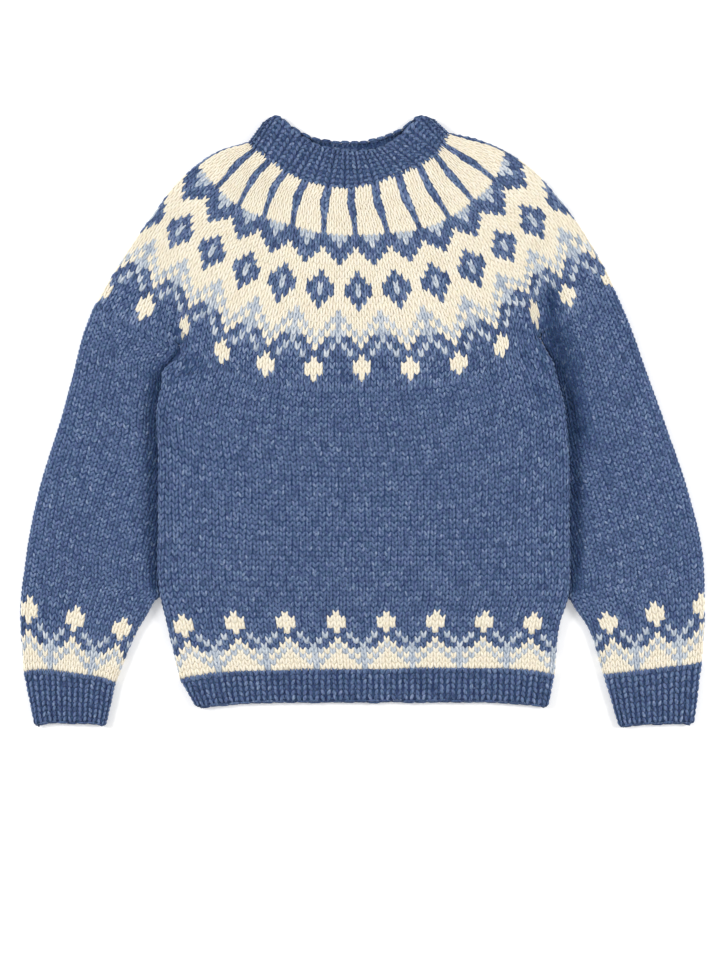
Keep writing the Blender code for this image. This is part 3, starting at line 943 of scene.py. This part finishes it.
def lay(cloth, stitches, leaves, lift=0.0, loose=1.0, inside=False, painted_shade=0.0):
    """Places the leaves of every stitch on the cloth, or on its lining side."""
    count = len(stitches.columns)
    shift_across = dice.normal(0, 0.030 * loose, count)
    shift_up = dice.normal(0, 0.045 * loose, count)
    shift_height = dice.normal(0, 0.10 * loose, count)
    if loose <= 1:                 # such rows also wander a little from side to side and up
        swing = 2.0 * np.sin(stitches.columns * 0.9)
        shift_across += 0.07 * np.sin(stitches.rounds * 0.55 + swing)
        swing = 1.7 * np.sin(stitches.rounds * 0.4)
        shift_up += 0.09 * np.sin(stitches.columns / stitches.widths * 0.35 + swing)
    shade = dice.random(count)
    level = stitches.rounds + STITCH_MIDDLE
    middle = place(cloth, cloth.around(stitches.columns, level), level, np.zeros(count))
    in_front = middle[:, 2] > LYING / 3
    # Painted shade: strands of the front that lie along the listed lines are marked to be darkened.
    painted_shade = np.maximum(painted_shade, painted_hollow_shade(cloth.name, middle[:, 0], middle[:, 1]) * in_front)
    parts = []
    for number, leaf in enumerate(leaves):
        across_leaf, up_leaf, height = leaf.points.T
        lean = dice.normal(0, 0.05 * loose, count)
        lateral = across_leaf + shift_across[:, None] + lean[:, None] * (up_leaf - STITCH_MIDDLE)
        columns = stitches.columns[:, None] + stitches.widths[:, None] * lateral
        rounds = stitches.rounds[:, None] + up_leaf + shift_up[:, None]
        heights = height + shift_height[:, None] + lift
        if inside:
            heights = -LINING_DEPTH - LINING_LIFT - heights
        points = place(cloth, cloth.around(columns, rounds), rounds, heights)
        points[..., 2] = np.maximum(points[..., 2], RESTING)
        size = len(leaf.points)
        corners = leaf.corners + np.arange(count)[:, None] * size
        starts = leaf.starts + np.arange(count)[:, None] * len(leaf.corners)
        leaf_u, leaf_v = leaf.uv.T
        u = stitches.cell_x[:, None] + stitches.cell_width[:, None] * ((leaf_u + number) / len(leaves))
        v = stitches.cell_y[:, None] + stitches.cell_height[:, None] * leaf_v
        own = dice.random(count)
        uv = np.stack([u, v], axis=2)
        yarn = np.stack([leaf_u + 0 * u, leaf_v + own[:, None] * YARN_SHIFTS], axis=2)
        marks = np.stack([stitches.kinds, (shade + own) / 2, painted_shade, np.ones(count)], axis=1)
        if inside:
            order = turned_order(leaf)
            corners, uv, yarn = corners[:, order], uv[:, order], yarn[:, order]
        parts.append(Strands(points.reshape(-1, 3), corners.ravel(), starts.ravel(),
                             uv.reshape(-1, 2), yarn.reshape(-1, 2), np.repeat(marks, size, axis=0)))
    return joined(parts)


def lay_front(cloth, stitches, plain):
    """Plain stitches get the short leaf and patterned ones the long, pointed leaf."""
    parts = []
    for mask, leaves in ((plain, KNIT), (~plain, PATTERN)):
        chosen = Stitches(*(values[mask] for values in stitches))
        parts.append(lay(cloth, chosen, leaves))
    return joined(parts)


def joined(parts):
    """Several sets of strands as one."""
    corners, starts = [], []
    point_count = corner_count = 0
    for part in parts:
        corners.append(part.corners + point_count)
        starts.append(part.starts + corner_count)
        point_count += len(part.points)
        corner_count += len(part.corners)
    points, uv, yarn, marks = (np.concatenate([getattr(part, label) for part in parts])
                               for label in ("points", "uv", "yarn", "marks"))
    return Strands(points, np.concatenate(corners), np.concatenate(starts), uv, yarn, marks)


# %% Strands to a mesh
def mesh_from(name, strands, domain="POINT"):
    """A mesh with both texture maps, and with the marks of its points or faces."""
    mesh = bpy.data.meshes.new(name)
    mesh.vertices.add(len(strands.points))
    mesh.vertices.foreach_set("co", (strands.points * MM).astype(np.float32).ravel())
    mesh.loops.add(len(strands.corners))
    mesh.loops.foreach_set("vertex_index", strands.corners.astype(np.int32))
    mesh.polygons.add(len(strands.starts))
    mesh.polygons.foreach_set("loop_start", strands.starts.astype(np.int32))
    mesh.update(calc_edges=True)
    for label, values in (("OFBake", strands.uv), ("Yarn", strands.yarn)):
        layer = mesh.uv_layers.new(name=label)
        layer.data.foreach_set("uv", values.astype(np.float32).ravel())
    marks = mesh.attributes.new("Stitch", "FLOAT_COLOR", domain)
    marks.data.foreach_set("color", strands.marks.astype(np.float32).ravel())
    mesh.shade_smooth()
    return mesh


def add_piece(name, mesh, material):
    mesh.materials.append(material)
    piece = bpy.data.objects.new(name, mesh)
    bpy.context.scene.collection.objects.link(piece)
    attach(piece, "root")
    mesh.calc_loop_triangles()
    print(name, len(mesh.loop_triangles), "triangles")
    return piece


def add_stitches(name, strands, material):
    return add_piece(name, mesh_from(name, strands), material)


# %% [markdown]
# ## The wool
#
# The blue yarn is heathered: fibres dyed in several blues are spun together, so each strand has
# lighter and darker flecks, longer than wide. Two node groups hold what all the wool has in common.
# One picks the colour from the three yarns, breaks it up with flecks, and darkens it and deepens its
# blue with painted shade in the hollows and gaps. The other gives the height of the twisted plies and
# loose fibres, for a bump. The shader itself stays in each material, with a soft sheen for the halo of
# fibres that wool has.

# %% Node helpers
def set_inputs(tree, node, inputs):
    """Gives a node's inputs their values, or links them to the sockets given for them."""
    for label, value in inputs.items():
        if isinstance(value, bpy.types.NodeSocket):
            tree.links.new(value, node.inputs[label])
        else:
            node.inputs[label].default_value = value


def new_node(tree, kind, inputs, **settings):
    node = tree.nodes.new("ShaderNode" + kind)
    for label, value in settings.items():
        setattr(node, label, value)
    set_inputs(tree, node, inputs)
    return node


def math_node(tree, operation, *values, clamp=False):
    inputs = dict(enumerate(values))
    return new_node(tree, "Math", inputs, operation=operation, use_clamp=clamp).outputs[0]


def ramp_colour(tree, stops, factor):
    node = new_node(tree, "ValToRGB", {"Fac": factor})
    elements = node.color_ramp.elements
    while len(elements) < len(stops):
        elements.new(0.5)
    for element, (position, colour) in zip(elements, stops):
        element.position = position
        element.color = (*colour, 1)
    return node.outputs["Color"]


def new_group(name, inputs, output):
    """A node group with inputs of numbers, as a tree, its input sockets and its output node."""
    group = bpy.data.node_groups.new(name, "ShaderNodeTree")
    for label, value in inputs.items():
        socket = group.interface.new_socket(label, in_out="INPUT", socket_type="NodeSocketFloat")
        socket.default_value = value
    label, kind = output
    group.interface.new_socket(label, in_out="OUTPUT", socket_type=kind)
    return group, group.nodes.new("NodeGroupInput").outputs, group.nodes.new("NodeGroupOutput")


# %% Heathered colour group
BLUE_STOPS = ((0.12, (0.030, 0.053, 0.132)), (0.42, (0.078, 0.121, 0.250)),
              (0.66, (0.128, 0.186, 0.340)), (0.92, (0.285, 0.350, 0.505)))
LIGHT_STOPS = ((0.10, (0.290, 0.350, 0.470)), (0.45, (0.490, 0.545, 0.620)),
               (0.90, (0.720, 0.750, 0.780)))
CREAM_STOPS = ((0.05, (0.850, 0.760, 0.585)), (0.40, (0.890, 0.820, 0.665)),
               (0.85, (0.925, 0.875, 0.745)))
FLECK_STRETCH = (1.0, 0.38, 1.0)       # makes the flecks longer than wide
FLECK_GAIN = 2.2
HUES = (0.486, 0.510)                  # the dye's hue wanders between these, 0.5 changes nothing
PAINTED_SHADE_DARK = 0.60                     # how much of its brightness painted shade takes from wool in a hollow
PAINTED_SHADE_SATURATION = 0.30                   # and how much more saturated painted shade makes the blues there

heather, given, group_out = new_group(
    "Heathered wool",
    {"Yarn": 0.0, "Shade": 0.5, "Painted Shade": 0.0, "Fleck Size": 420.0, "Fleck Strength": 0.6},
    ("Color", "NodeSocketColor"))
where = new_node(heather, "TexCoord", {})
stretched = new_node(heather, "Mapping", {"Vector": where.outputs["Object"], "Scale": FLECK_STRETCH})
flecks = new_node(heather, "TexNoise", {"Vector": stretched.outputs[0], "Scale": given["Fleck Size"],
                                        "Detail": 3.0, "Roughness": 0.6})
centred = math_node(heather, "SUBTRACT", flecks.outputs["Fac"], 0.5)
strong = math_node(heather, "MULTIPLY", centred, given["Fleck Strength"])
strong = math_node(heather, "MULTIPLY", strong, FLECK_GAIN)
is_light = math_node(heather, "GREATER_THAN", given["Yarn"], 0.25)
is_cream = math_node(heather, "GREATER_THAN", given["Yarn"], 0.75)
calm = math_node(heather, "SUBTRACT", 1.0, math_node(heather, "MULTIPLY", is_cream, 0.5))
strong = math_node(heather, "MULTIPLY", strong, calm)
shaded = math_node(heather, "ADD", strong, given["Shade"], clamp=True)
mixed = ramp_colour(heather, BLUE_STOPS, shaded)
for mask, stops in ((is_light, LIGHT_STOPS), (is_cream, CREAM_STOPS)):
    inputs = {0: mask, 6: mixed, 7: ramp_colour(heather, stops, shaded)}
    mixed = new_node(heather, "Mix", inputs, data_type="RGBA").outputs[2]
hues = new_node(heather, "TexNoise", {"Vector": stretched.outputs[0], "Scale": 330.0, "Detail": 2.0})
hue = new_node(heather, "MapRange", {"Value": hues.outputs["Fac"], "From Min": 0.3, "From Max": 0.7,
                                     "To Min": HUES[0], "To Max": HUES[1]})
# Painted shade: the mark darkens the wool and makes its blues more saturated.
dark = math_node(heather, "MULTIPLY", given["Painted Shade"], PAINTED_SHADE_DARK)
deeper = math_node(heather, "MULTIPLY", given["Painted Shade"], PAINTED_SHADE_SATURATION)
deeper = math_node(heather, "MULTIPLY", deeper, math_node(heather, "SUBTRACT", 1.0, is_cream))
dyed = new_node(heather, "HueSaturation", {
    "Hue": hue.outputs[0], "Saturation": math_node(heather, "ADD", 1.0, deeper),
    "Value": math_node(heather, "SUBTRACT", 1.0, dark), "Color": mixed})
set_inputs(heather, group_out, {"Color": dyed.outputs[0]})
print("nodes for the colour:", len(heather.nodes))

# %% Twisted yarn group
PLY_SLANT = 1.4                        # turns of the ply across a strand
PLY_HEIGHT = 0.35                      # against the fibres' height of 1

twist, given, group_out = new_group(
    "Twisted yarn", {"Turns": 3.0, "Fibre Size": 1500.0}, ("Height", "NodeSocketFloat"))
yarn_map = new_node(twist, "UVMap", {}, uv_map="Yarn")
split = new_node(twist, "SeparateXYZ", {0: yarn_map.outputs[0]})
turned_by = math_node(twist, "MULTIPLY", split.outputs["Y"], given["Turns"])
slant = math_node(twist, "MULTIPLY", split.outputs["X"], PLY_SLANT)
phase = math_node(twist, "MULTIPLY", math_node(twist, "ADD", turned_by, slant), 2 * math.pi)
plies = math_node(twist, "MULTIPLY", math_node(twist, "SINE", phase), PLY_HEIGHT)
where = new_node(twist, "TexCoord", {})
fibres = new_node(twist, "TexNoise", {"Vector": where.outputs["Object"], "Scale": given["Fibre Size"],
                                      "Detail": 4.0, "Roughness": 0.7})
set_inputs(twist, group_out, {"Height": math_node(twist, "ADD", plies, fibres.outputs["Fac"])})
print("nodes for the height:", len(twist.nodes))

# %% Wool materials
BUMP_STRENGTH = 0.5
BUMP_DISTANCE = 0.0006
ROUGHNESS = (0.82, 0.98)               # in the yarn's low and high places


def wool_material(name, fleck_size, fleck_strength, shade_low, shade_high, sheen):
    material = bpy.data.materials.new(name)
    material.use_nodes = True
    tree = material.node_tree
    marks = new_node(tree, "Attribute", {}, attribute_name="Stitch")
    split = new_node(tree, "SeparateColor", {0: marks.outputs["Color"]})
    shade = new_node(tree, "MapRange", {"Value": split.outputs[1], "To Min": shade_low,
                                        "To Max": shade_high})
    colour = new_node(tree, "Group", {}, node_tree=heather)
    set_inputs(tree, colour, {"Fleck Size": fleck_size, "Fleck Strength": fleck_strength,
                              "Yarn": split.outputs[0], "Shade": shade.outputs[0],
                              "Painted Shade": split.outputs[2]})
    height = new_node(tree, "Group", {}, node_tree=twist).outputs["Height"]
    bump = new_node(tree, "Bump", {"Strength": BUMP_STRENGTH, "Distance": BUMP_DISTANCE,
                                   "Height": height})
    rough = new_node(tree, "MapRange", {"Value": height, "To Min": ROUGHNESS[0],
                                        "To Max": ROUGHNESS[1]})
    set_inputs(tree, tree.nodes["Principled BSDF"], {
        "Base Color": colour.outputs["Color"], "Normal": bump.outputs[0],
        "Roughness": rough.outputs[0], "Specular IOR Level": 0.25,
        "Sheen Weight": sheen, "Sheen Roughness": 0.45})
    return material


BLUE_WOOL = wool_material("heather_blue_wool", 500.0, 0.66, 0.31, 0.72, 0.10)
PATTERNED_WOOL = wool_material("patterned_wool", 500.0, 0.80, 0.26, 0.80, 0.10)
# The shell's wool gets a darker range of tones: painted shade for the gaps between stitches.
SHADED_WOOL = wool_material("wool_between_stitches", 420.0, 0.5, 0.10, 0.30, 0.0)
print("materials:", [material.name for material in (BLUE_WOOL, PATTERNED_WOOL, SHADED_WOOL)])

# %% [markdown]
# ## The shells
#
# Under the strands lies a thin closed shell, the body of the cloth, which shows only in the small
# gaps between stitches and inside the neck, hem and cuffs. Its outer side lies lower than the
# strands' tops, and its inner side is the lining side of the solid. Each face carries the yarn of
# the stitch above it, so no blue shows through the cream, and its wool is painted darker than the
# strands', as painted shade in the gaps.

# %% Shell of one cloth
SKIN_DEPTH = 1.25                  # from the strands' ground down to the shell
LINING_STEP = 4                    # the lining side needs fewer rounds
# Painted shade that darkens the whole shell a little more.
SHELL_PAINTED_SHADE = 0.25
OUTER_MAP = 0.62                   # the part of the texture map's height for the outer side
LINING_MAP = (0.66, 0.30)          # where the lining side's part begins, and its height


def shell_strands(cloth, columns, kinds_of, around, depths):
    """A closed shell through the cloth's rounds, with one face for each half column."""
    rounds = np.arange(cloth.rounds + 1, dtype=float)
    inner_rounds = np.unique(np.append(rounds[::LINING_STEP], rounds[-1]))
    count = len(columns)
    centres = columns + (columns[1] - columns[0]) / 2
    rings = [(number, -depths) for number in rounds]
    rings += [(number, np.full(count, -LINING_DEPTH)) for number in inner_rounds]
    points = [place(cloth, around(columns, number), np.full(count, number), heights)
              for number, heights in rings]
    outer, whole = len(rounds), len(rings)

    # Bands of faces: both rings, whether turned, both heights in the texture map, and the round
    bands = []
    for ring in range(outer - 1):
        low, high = OUTER_MAP * ring / outer, OUTER_MAP * (ring + 1) / outer
        bands.append((ring, ring + 1, False, low, high, ring))
    for ring in range(outer, whole - 1):
        low = LINING_MAP[0] + LINING_MAP[1] * (ring - outer) / (whole - outer)
        high = low + LINING_MAP[1] / (whole - outer)
        bands.append((ring, ring + 1, True, low, high, int(inner_rounds[ring - outer])))
    bands.append((0, outer, True, 0.625, 0.64, 0))
    bands.append((outer - 1, whole - 1, False, 0.97, 0.99, outer - 2))

    here = np.arange(count)
    there = (here + 1) % count
    quads, uv, kinds = [], [], []
    for low, high, turned, low_v, high_v, number in bands:
        order = slice(None, None, -1 if turned else 1)
        corners = [low * count + here, low * count + there, high * count + there, high * count + here]
        quads.append(np.stack(corners[order], axis=1))
        ends = [(here, low_v), (here + 1, low_v), (here + 1, high_v), (here, high_v)]
        ends = [np.stack([u / count, np.full(count, v)], axis=1) for u, v in ends]
        uv.append(np.stack(ends[order], axis=1))
        kinds.append(kinds_of(centres, number))
    kinds = np.concatenate(kinds)
    same = np.ones(len(kinds))
    marks = np.stack([kinds, 0.5 * same, SHELL_PAINTED_SHADE * same, same], axis=1)
    quads, uv = np.concatenate(quads), np.concatenate(uv)
    return Strands(np.concatenate(points), quads.ravel(), np.arange(0, quads.size, 4), uv, uv, marks)


def add_shell(name, cloth, columns, kinds_of, around, depths=SKIN_DEPTH):
    strands = shell_strands(cloth, columns, kinds_of, around, depths * np.ones(len(columns)))
    return add_piece(name, mesh_from(name, strands, "FACE"), SHADED_WOOL)


# %% [markdown]
# ## Body
#
# The body's front and back are plain stockinette above the patterned band. At both ends of the
# front a row of blue loops is tucked in lower, since the next piece's stitches come out of them.

# %% Body stitches
BELOW_SEAM = -0.78                 # blue loops that show between the feet of the first round
ABOVE_SEAM = -0.62                 # and loops that fill up the join under the yoke
TUCKED_LIFT = -0.45                # both lie lower than the others


def tucked_rounds(rounds):
    """The places of the tucked rows of a piece, and their rows of texture cells."""
    return ((BELOW_SEAM, -1), (rounds + ABOVE_SEAM, rounds))


def body_kinds(columns, number):
    return band_kind(np.round(columns).astype(int), number, BODY_DOT)


def body_rows(first_column):
    columns = np.arange(BODY_HALF) + first_column
    return stitch_list([stitch_row(columns, number, 1.0, body_kinds(columns, number), BODY_ROUNDS)
                        for number in range(BODY_ROUNDS)])


front_rows = body_rows(0)
tucked = stitch_list([stitch_row(np.arange(BODY_HALF), number, 1.0, 0.0, BODY_ROUNDS, cell)
                      for number, cell in tucked_rounds(BODY_ROUNDS)])
front = joined([lay_front(body, front_rows, front_rows.kinds < 0.25),
                lay(body, tucked, KNIT, lift=TUCKED_LIFT)])
body_front = add_stitches("body_front_stitches", front, BLUE_WOOL)
back = lay(body, body_rows(BODY_HALF), KNIT_BACK)
body_back = add_stitches("body_back_stitches", back, BLUE_WOOL)
body_shell = add_shell("body_cloth", body, np.arange(0, 2 * BODY_HALF, 0.5), body_kinds, body_even)
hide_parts("body")


# %% Yoke stitches
def yoke_letters(number):
    return np.array([KINDS[letter] for letter in YOKE_CHART[number]])


def yoke_stitches(middle):
    """The stitches of the panel whose middle is at that repeat: 0 is the front's, 12 the back's."""
    rows = []
    for number in range(YOKE_ROUNDS):
        letters = yoke_letters(number)
        size = len(letters)
        index = np.arange((middle - HALF_REPEATS) * size, (middle + HALF_REPEATS) * size)
        rows.append(stitch_row(index / size, number, 1 / size, letters[index % size], YOKE_ROUNDS))
    return stitch_list(rows)


def yoke_kinds(repeats, number):
    letters = yoke_letters(min(number, YOKE_ROUNDS - 1))
    return letters[np.round(repeats * len(letters)).astype(int) % len(letters)]


PLAIN_BELOW = 5                    # up to this round the blue between the dots is as in the body
BESIDE_DOT = 1.5                   # stitches from a dot's axis within which it isn't

front_rows = yoke_stitches(0)
from_dot = np.abs(front_rows.columns - np.round(front_rows.columns)) * len(YOKE_CHART[0])
is_plain = (front_rows.kinds < 0.25) & (front_rows.rounds < PLAIN_BELOW) & (from_dot > BESIDE_DOT)
front = lay_front(yoke, front_rows, is_plain)
yoke_front = add_stitches("yoke_front_stitches", front, PATTERNED_WOOL)
back = lay(yoke, yoke_stitches(2 * HALF_REPEATS), KNIT_BACK)
yoke_back = add_stitches("yoke_back_stitches", back, PATTERNED_WOOL)
half_stitches = np.arange(-HALF_REPEATS, 3 * HALF_REPEATS, 1 / 16)
yoke_shell = add_shell("yoke_cloth", yoke, half_stitches, yoke_kinds, yoke_around)
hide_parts("yoke")


# %% Sleeve stitches
SLEEVE_CELLS = 24                  # texture cells of a row for each side
SLEEVE_SHARES = np.arange(0, 2, 1 / 40)            # of the shell's points in a ring
SIDE_REACH = 0.35                  # of a stitch that a side may go on past its inner fold


def side_count(sleeve, number):
    """The last stitch of a sleeve's side in that round, counted from the outer fold."""
    return int(np.floor(sleeve.columns_at(number) + SIDE_REACH))


def sleeve_stitches(sleeve, way, dot, back):
    """Front or back stitches of a sleeve, its column 0 on the outer fold."""
    rows = []
    for number in range(SLEEVE_ROUNDS):
        index = np.arange(1 if back else 0, side_count(sleeve, number) + 1)
        kinds = band_kind(-index if back else index, number, dot)
        rows.append(stitch_row(index * (-way if back else way), number, 1.0, kinds, SLEEVE_ROUNDS, None,
                               index + SLEEVE_CELLS * back, 2 * SLEEVE_CELLS))
    return stitch_list(rows)


def sleeve_tucked(sleeve, way):
    rows = []
    for number, cell in tucked_rounds(SLEEVE_ROUNDS):
        index = np.arange(side_count(sleeve, number) + 1)
        rows.append(stitch_row(index * way, number, 1.0, 0.0, SLEEVE_ROUNDS, cell, index,
                               2 * SLEEVE_CELLS))
    return stitch_list(rows)


def add_sleeve(name, sleeve, way, dot):
    cloth = sleeve.cloth
    front_rows = sleeve_stitches(sleeve, way, dot, False)
    front = joined([lay_front(cloth, front_rows, front_rows.kinds < 0.25),
                    lay(cloth, sleeve_tucked(sleeve, way), KNIT, lift=TUCKED_LIFT)])
    back = lay(cloth, sleeve_stitches(sleeve, way, dot, True), KNIT_BACK)
    stitches = add_stitches(name + "_stitches", joined([front, back]), BLUE_WOOL)

    def share_around(shares, number):
        return shares

    def kinds(shares, number):
        count = sleeve.columns_at(number)
        outer = np.abs((shares + 1) % 2 - 1) if way > 0 else np.abs(shares % 2 - 1)
        index = np.round(outer * count).astype(int)
        return band_kind(np.where(shares % 2 < 1, index, -index), number, dot)

    shell = add_shell(name + "_cloth", cloth, SLEEVE_SHARES, kinds, share_around)
    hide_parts(name)
    return shell, stitches


left_shell, left_stitches = add_sleeve("sleeve_left", sleeve_left, 1, LEFT_DOT)
right_shell, right_stitches = add_sleeve("sleeve_right", sleeve_right, -1, RIGHT_DOT)

# %% [markdown]
# ## Ribbing
#
# In 1x1 ribbing, knit columns stand up and draw together, and the purl columns between them sink
# and show only small cross bars. So the knit strands here are wide and high, the purls are short
# leaves that lie across, low in the valleys, and a chain of cast-off loops closes the open edge.
# The purls, the chain and the strands inside the collar also get painted shade, for the valleys.
# The hem and the cuffs are knitted tighter than the collar, and their ribs are rounder.

# %% Leaves for ribbing
RIB_SPINE = (
    (0.27, 0.00, 0.00, -1.6, 0.0),
    (0.34, 0.24, 0.24, -0.2, 1.6),
    (0.44, 0.62, 0.31, 0.35, 2.0),
    (0.52, 0.98, 0.24, -0.3, 1.6),
    (0.57, 1.24, 0.00, -1.8, 0.0),
)
PURL_SPINE = (
    (-0.60, 0.45, 0.00, -2.0, 0.0),
    (-0.24, 0.52, 0.30, -0.9, 1.2),
    (0.24, 0.52, 0.30, -0.9, 1.2),
    (0.60, 0.45, 0.00, -2.0, 0.0),
)
EDGE_SPINE = (
    (-1.25, -0.08, 0.00, -2.6, 0.0),
    (-0.55, 0.02, 0.30, -1.3, 2.2),
    (0.55, 0.06, 0.30, -1.3, 2.2),
    (1.25, -0.08, 0.00, -2.6, 0.0),
)
TIGHT_SPINE = (
    (0.34, 0.00, 0.00, -1.6, 0.0),
    (0.41, 0.24, 0.26, -0.2, 1.6),
    (0.51, 0.64, 0.35, 0.35, 2.2),
    (0.60, 1.02, 0.26, -0.3, 1.6),
    (0.66, 1.30, 0.00, -1.9, 0.0),
)
RIB = strand_pair(RIB_SPINE)
TIGHT_RIB = strand_pair(TIGHT_SPINE)


def lying_leaf(spine):
    """A leaf that runs across the column, its section upright."""
    return make_leaf(spine, tuple((-side, drop) for side, drop in ROUND_SECTION), sideways=(0.0, 1.0))


PURL = (lying_leaf(PURL_SPINE),)
EDGE = (lying_leaf(EDGE_SPINE),)


# %% Ribbed pieces
RIB_DEPTHS = np.array((1.9, 1.8, 1.6, 1.8))        # of the shell, from purl to knit and back
EDGE_CHAINS = ((0.0, 0.0), (-2.4, 0.22))           # lift, and rounds out past the edge


def rib_stitches(columns, rounds, width):
    return stitch_list([stitch_row(columns, number, width, 0.0, rounds) for number in range(rounds)])


def all_blue(columns, number):
    return np.zeros(len(columns))


def add_ribbing(name, cloth, columns, width, edge_round, rib, purl_depth_and_painted_shade, inner=None):
    """Knit columns at even places, purl columns between them and a chain at the open edge."""
    knits = columns[1::2]
    purls = columns[::2]
    # The purls sink and get painted shade by the same amount; the chain and the lining-side strands get
    # painted shade too.
    parts = [lay(cloth, rib_stitches(knits, cloth.rounds, width), rib, loose=1.2),
             lay(cloth, rib_stitches(purls, cloth.rounds, width), PURL, lift=-1.2 * purl_depth_and_painted_shade, loose=1.2,
                 painted_shade=purl_depth_and_painted_shade)]
    for lift, shift in EDGE_CHAINS:
        number = edge_round + (shift if edge_round else -shift)
        chain = stitch_list([stitch_row(knits, number, width, 0.0, cloth.rounds)])
        parts.append(lay(cloth, chain, EDGE, lift=lift, loose=1.5, painted_shade=0.3))
    if inner is not None:
        parts.append(lay(cloth, rib_stitches(inner[::2], cloth.rounds, width), RIB, lift=-0.6,
                         inside=True, painted_shade=0.6))
        parts.append(lay(cloth, rib_stitches(inner[1::2], cloth.rounds, width), PURL, inside=True,
                         painted_shade=1.0))
    stitches = add_stitches(name + "_stitches", joined(parts), BLUE_WOOL)
    halves = np.arange(0, 2 * len(columns))
    half_columns = halves / 2 * (columns[1] - columns[0]) + columns[0]
    shell = add_shell(name + "_cloth", cloth, half_columns, all_blue, cloth.around,
                      RIB_DEPTHS[halves % 4])
    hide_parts(name)
    return shell, stitches


hem_shell, hem_stitches = add_ribbing("hem_rib", hem, np.arange(2 * BODY_HALF), 1.0, 0, TIGHT_RIB, 0.5)
for cloth, flat in ((cuff_left, (0.196, 0.055)), (cuff_right, (0.21, 0.062))):
    shell, stitches = add_ribbing(cloth.name, cloth, np.arange(2 * CUFF_HALF), 1.0, 0, TIGHT_RIB, 0.5)

COLLAR_WIDTH = 1 / 3               # of a repeat: the collar has 3 columns to each
collar_columns = -HALF_REPEATS + COLLAR_WIDTH * np.arange(12 * HALF_REPEATS)
collar_shell, collar_stitches = add_ribbing(
    "collar_rib", collar, collar_columns, COLLAR_WIDTH, COLLAR_ROUNDS, RIB, 0.2,
    inner=collar_columns[collar_columns > HALF_REPEATS])
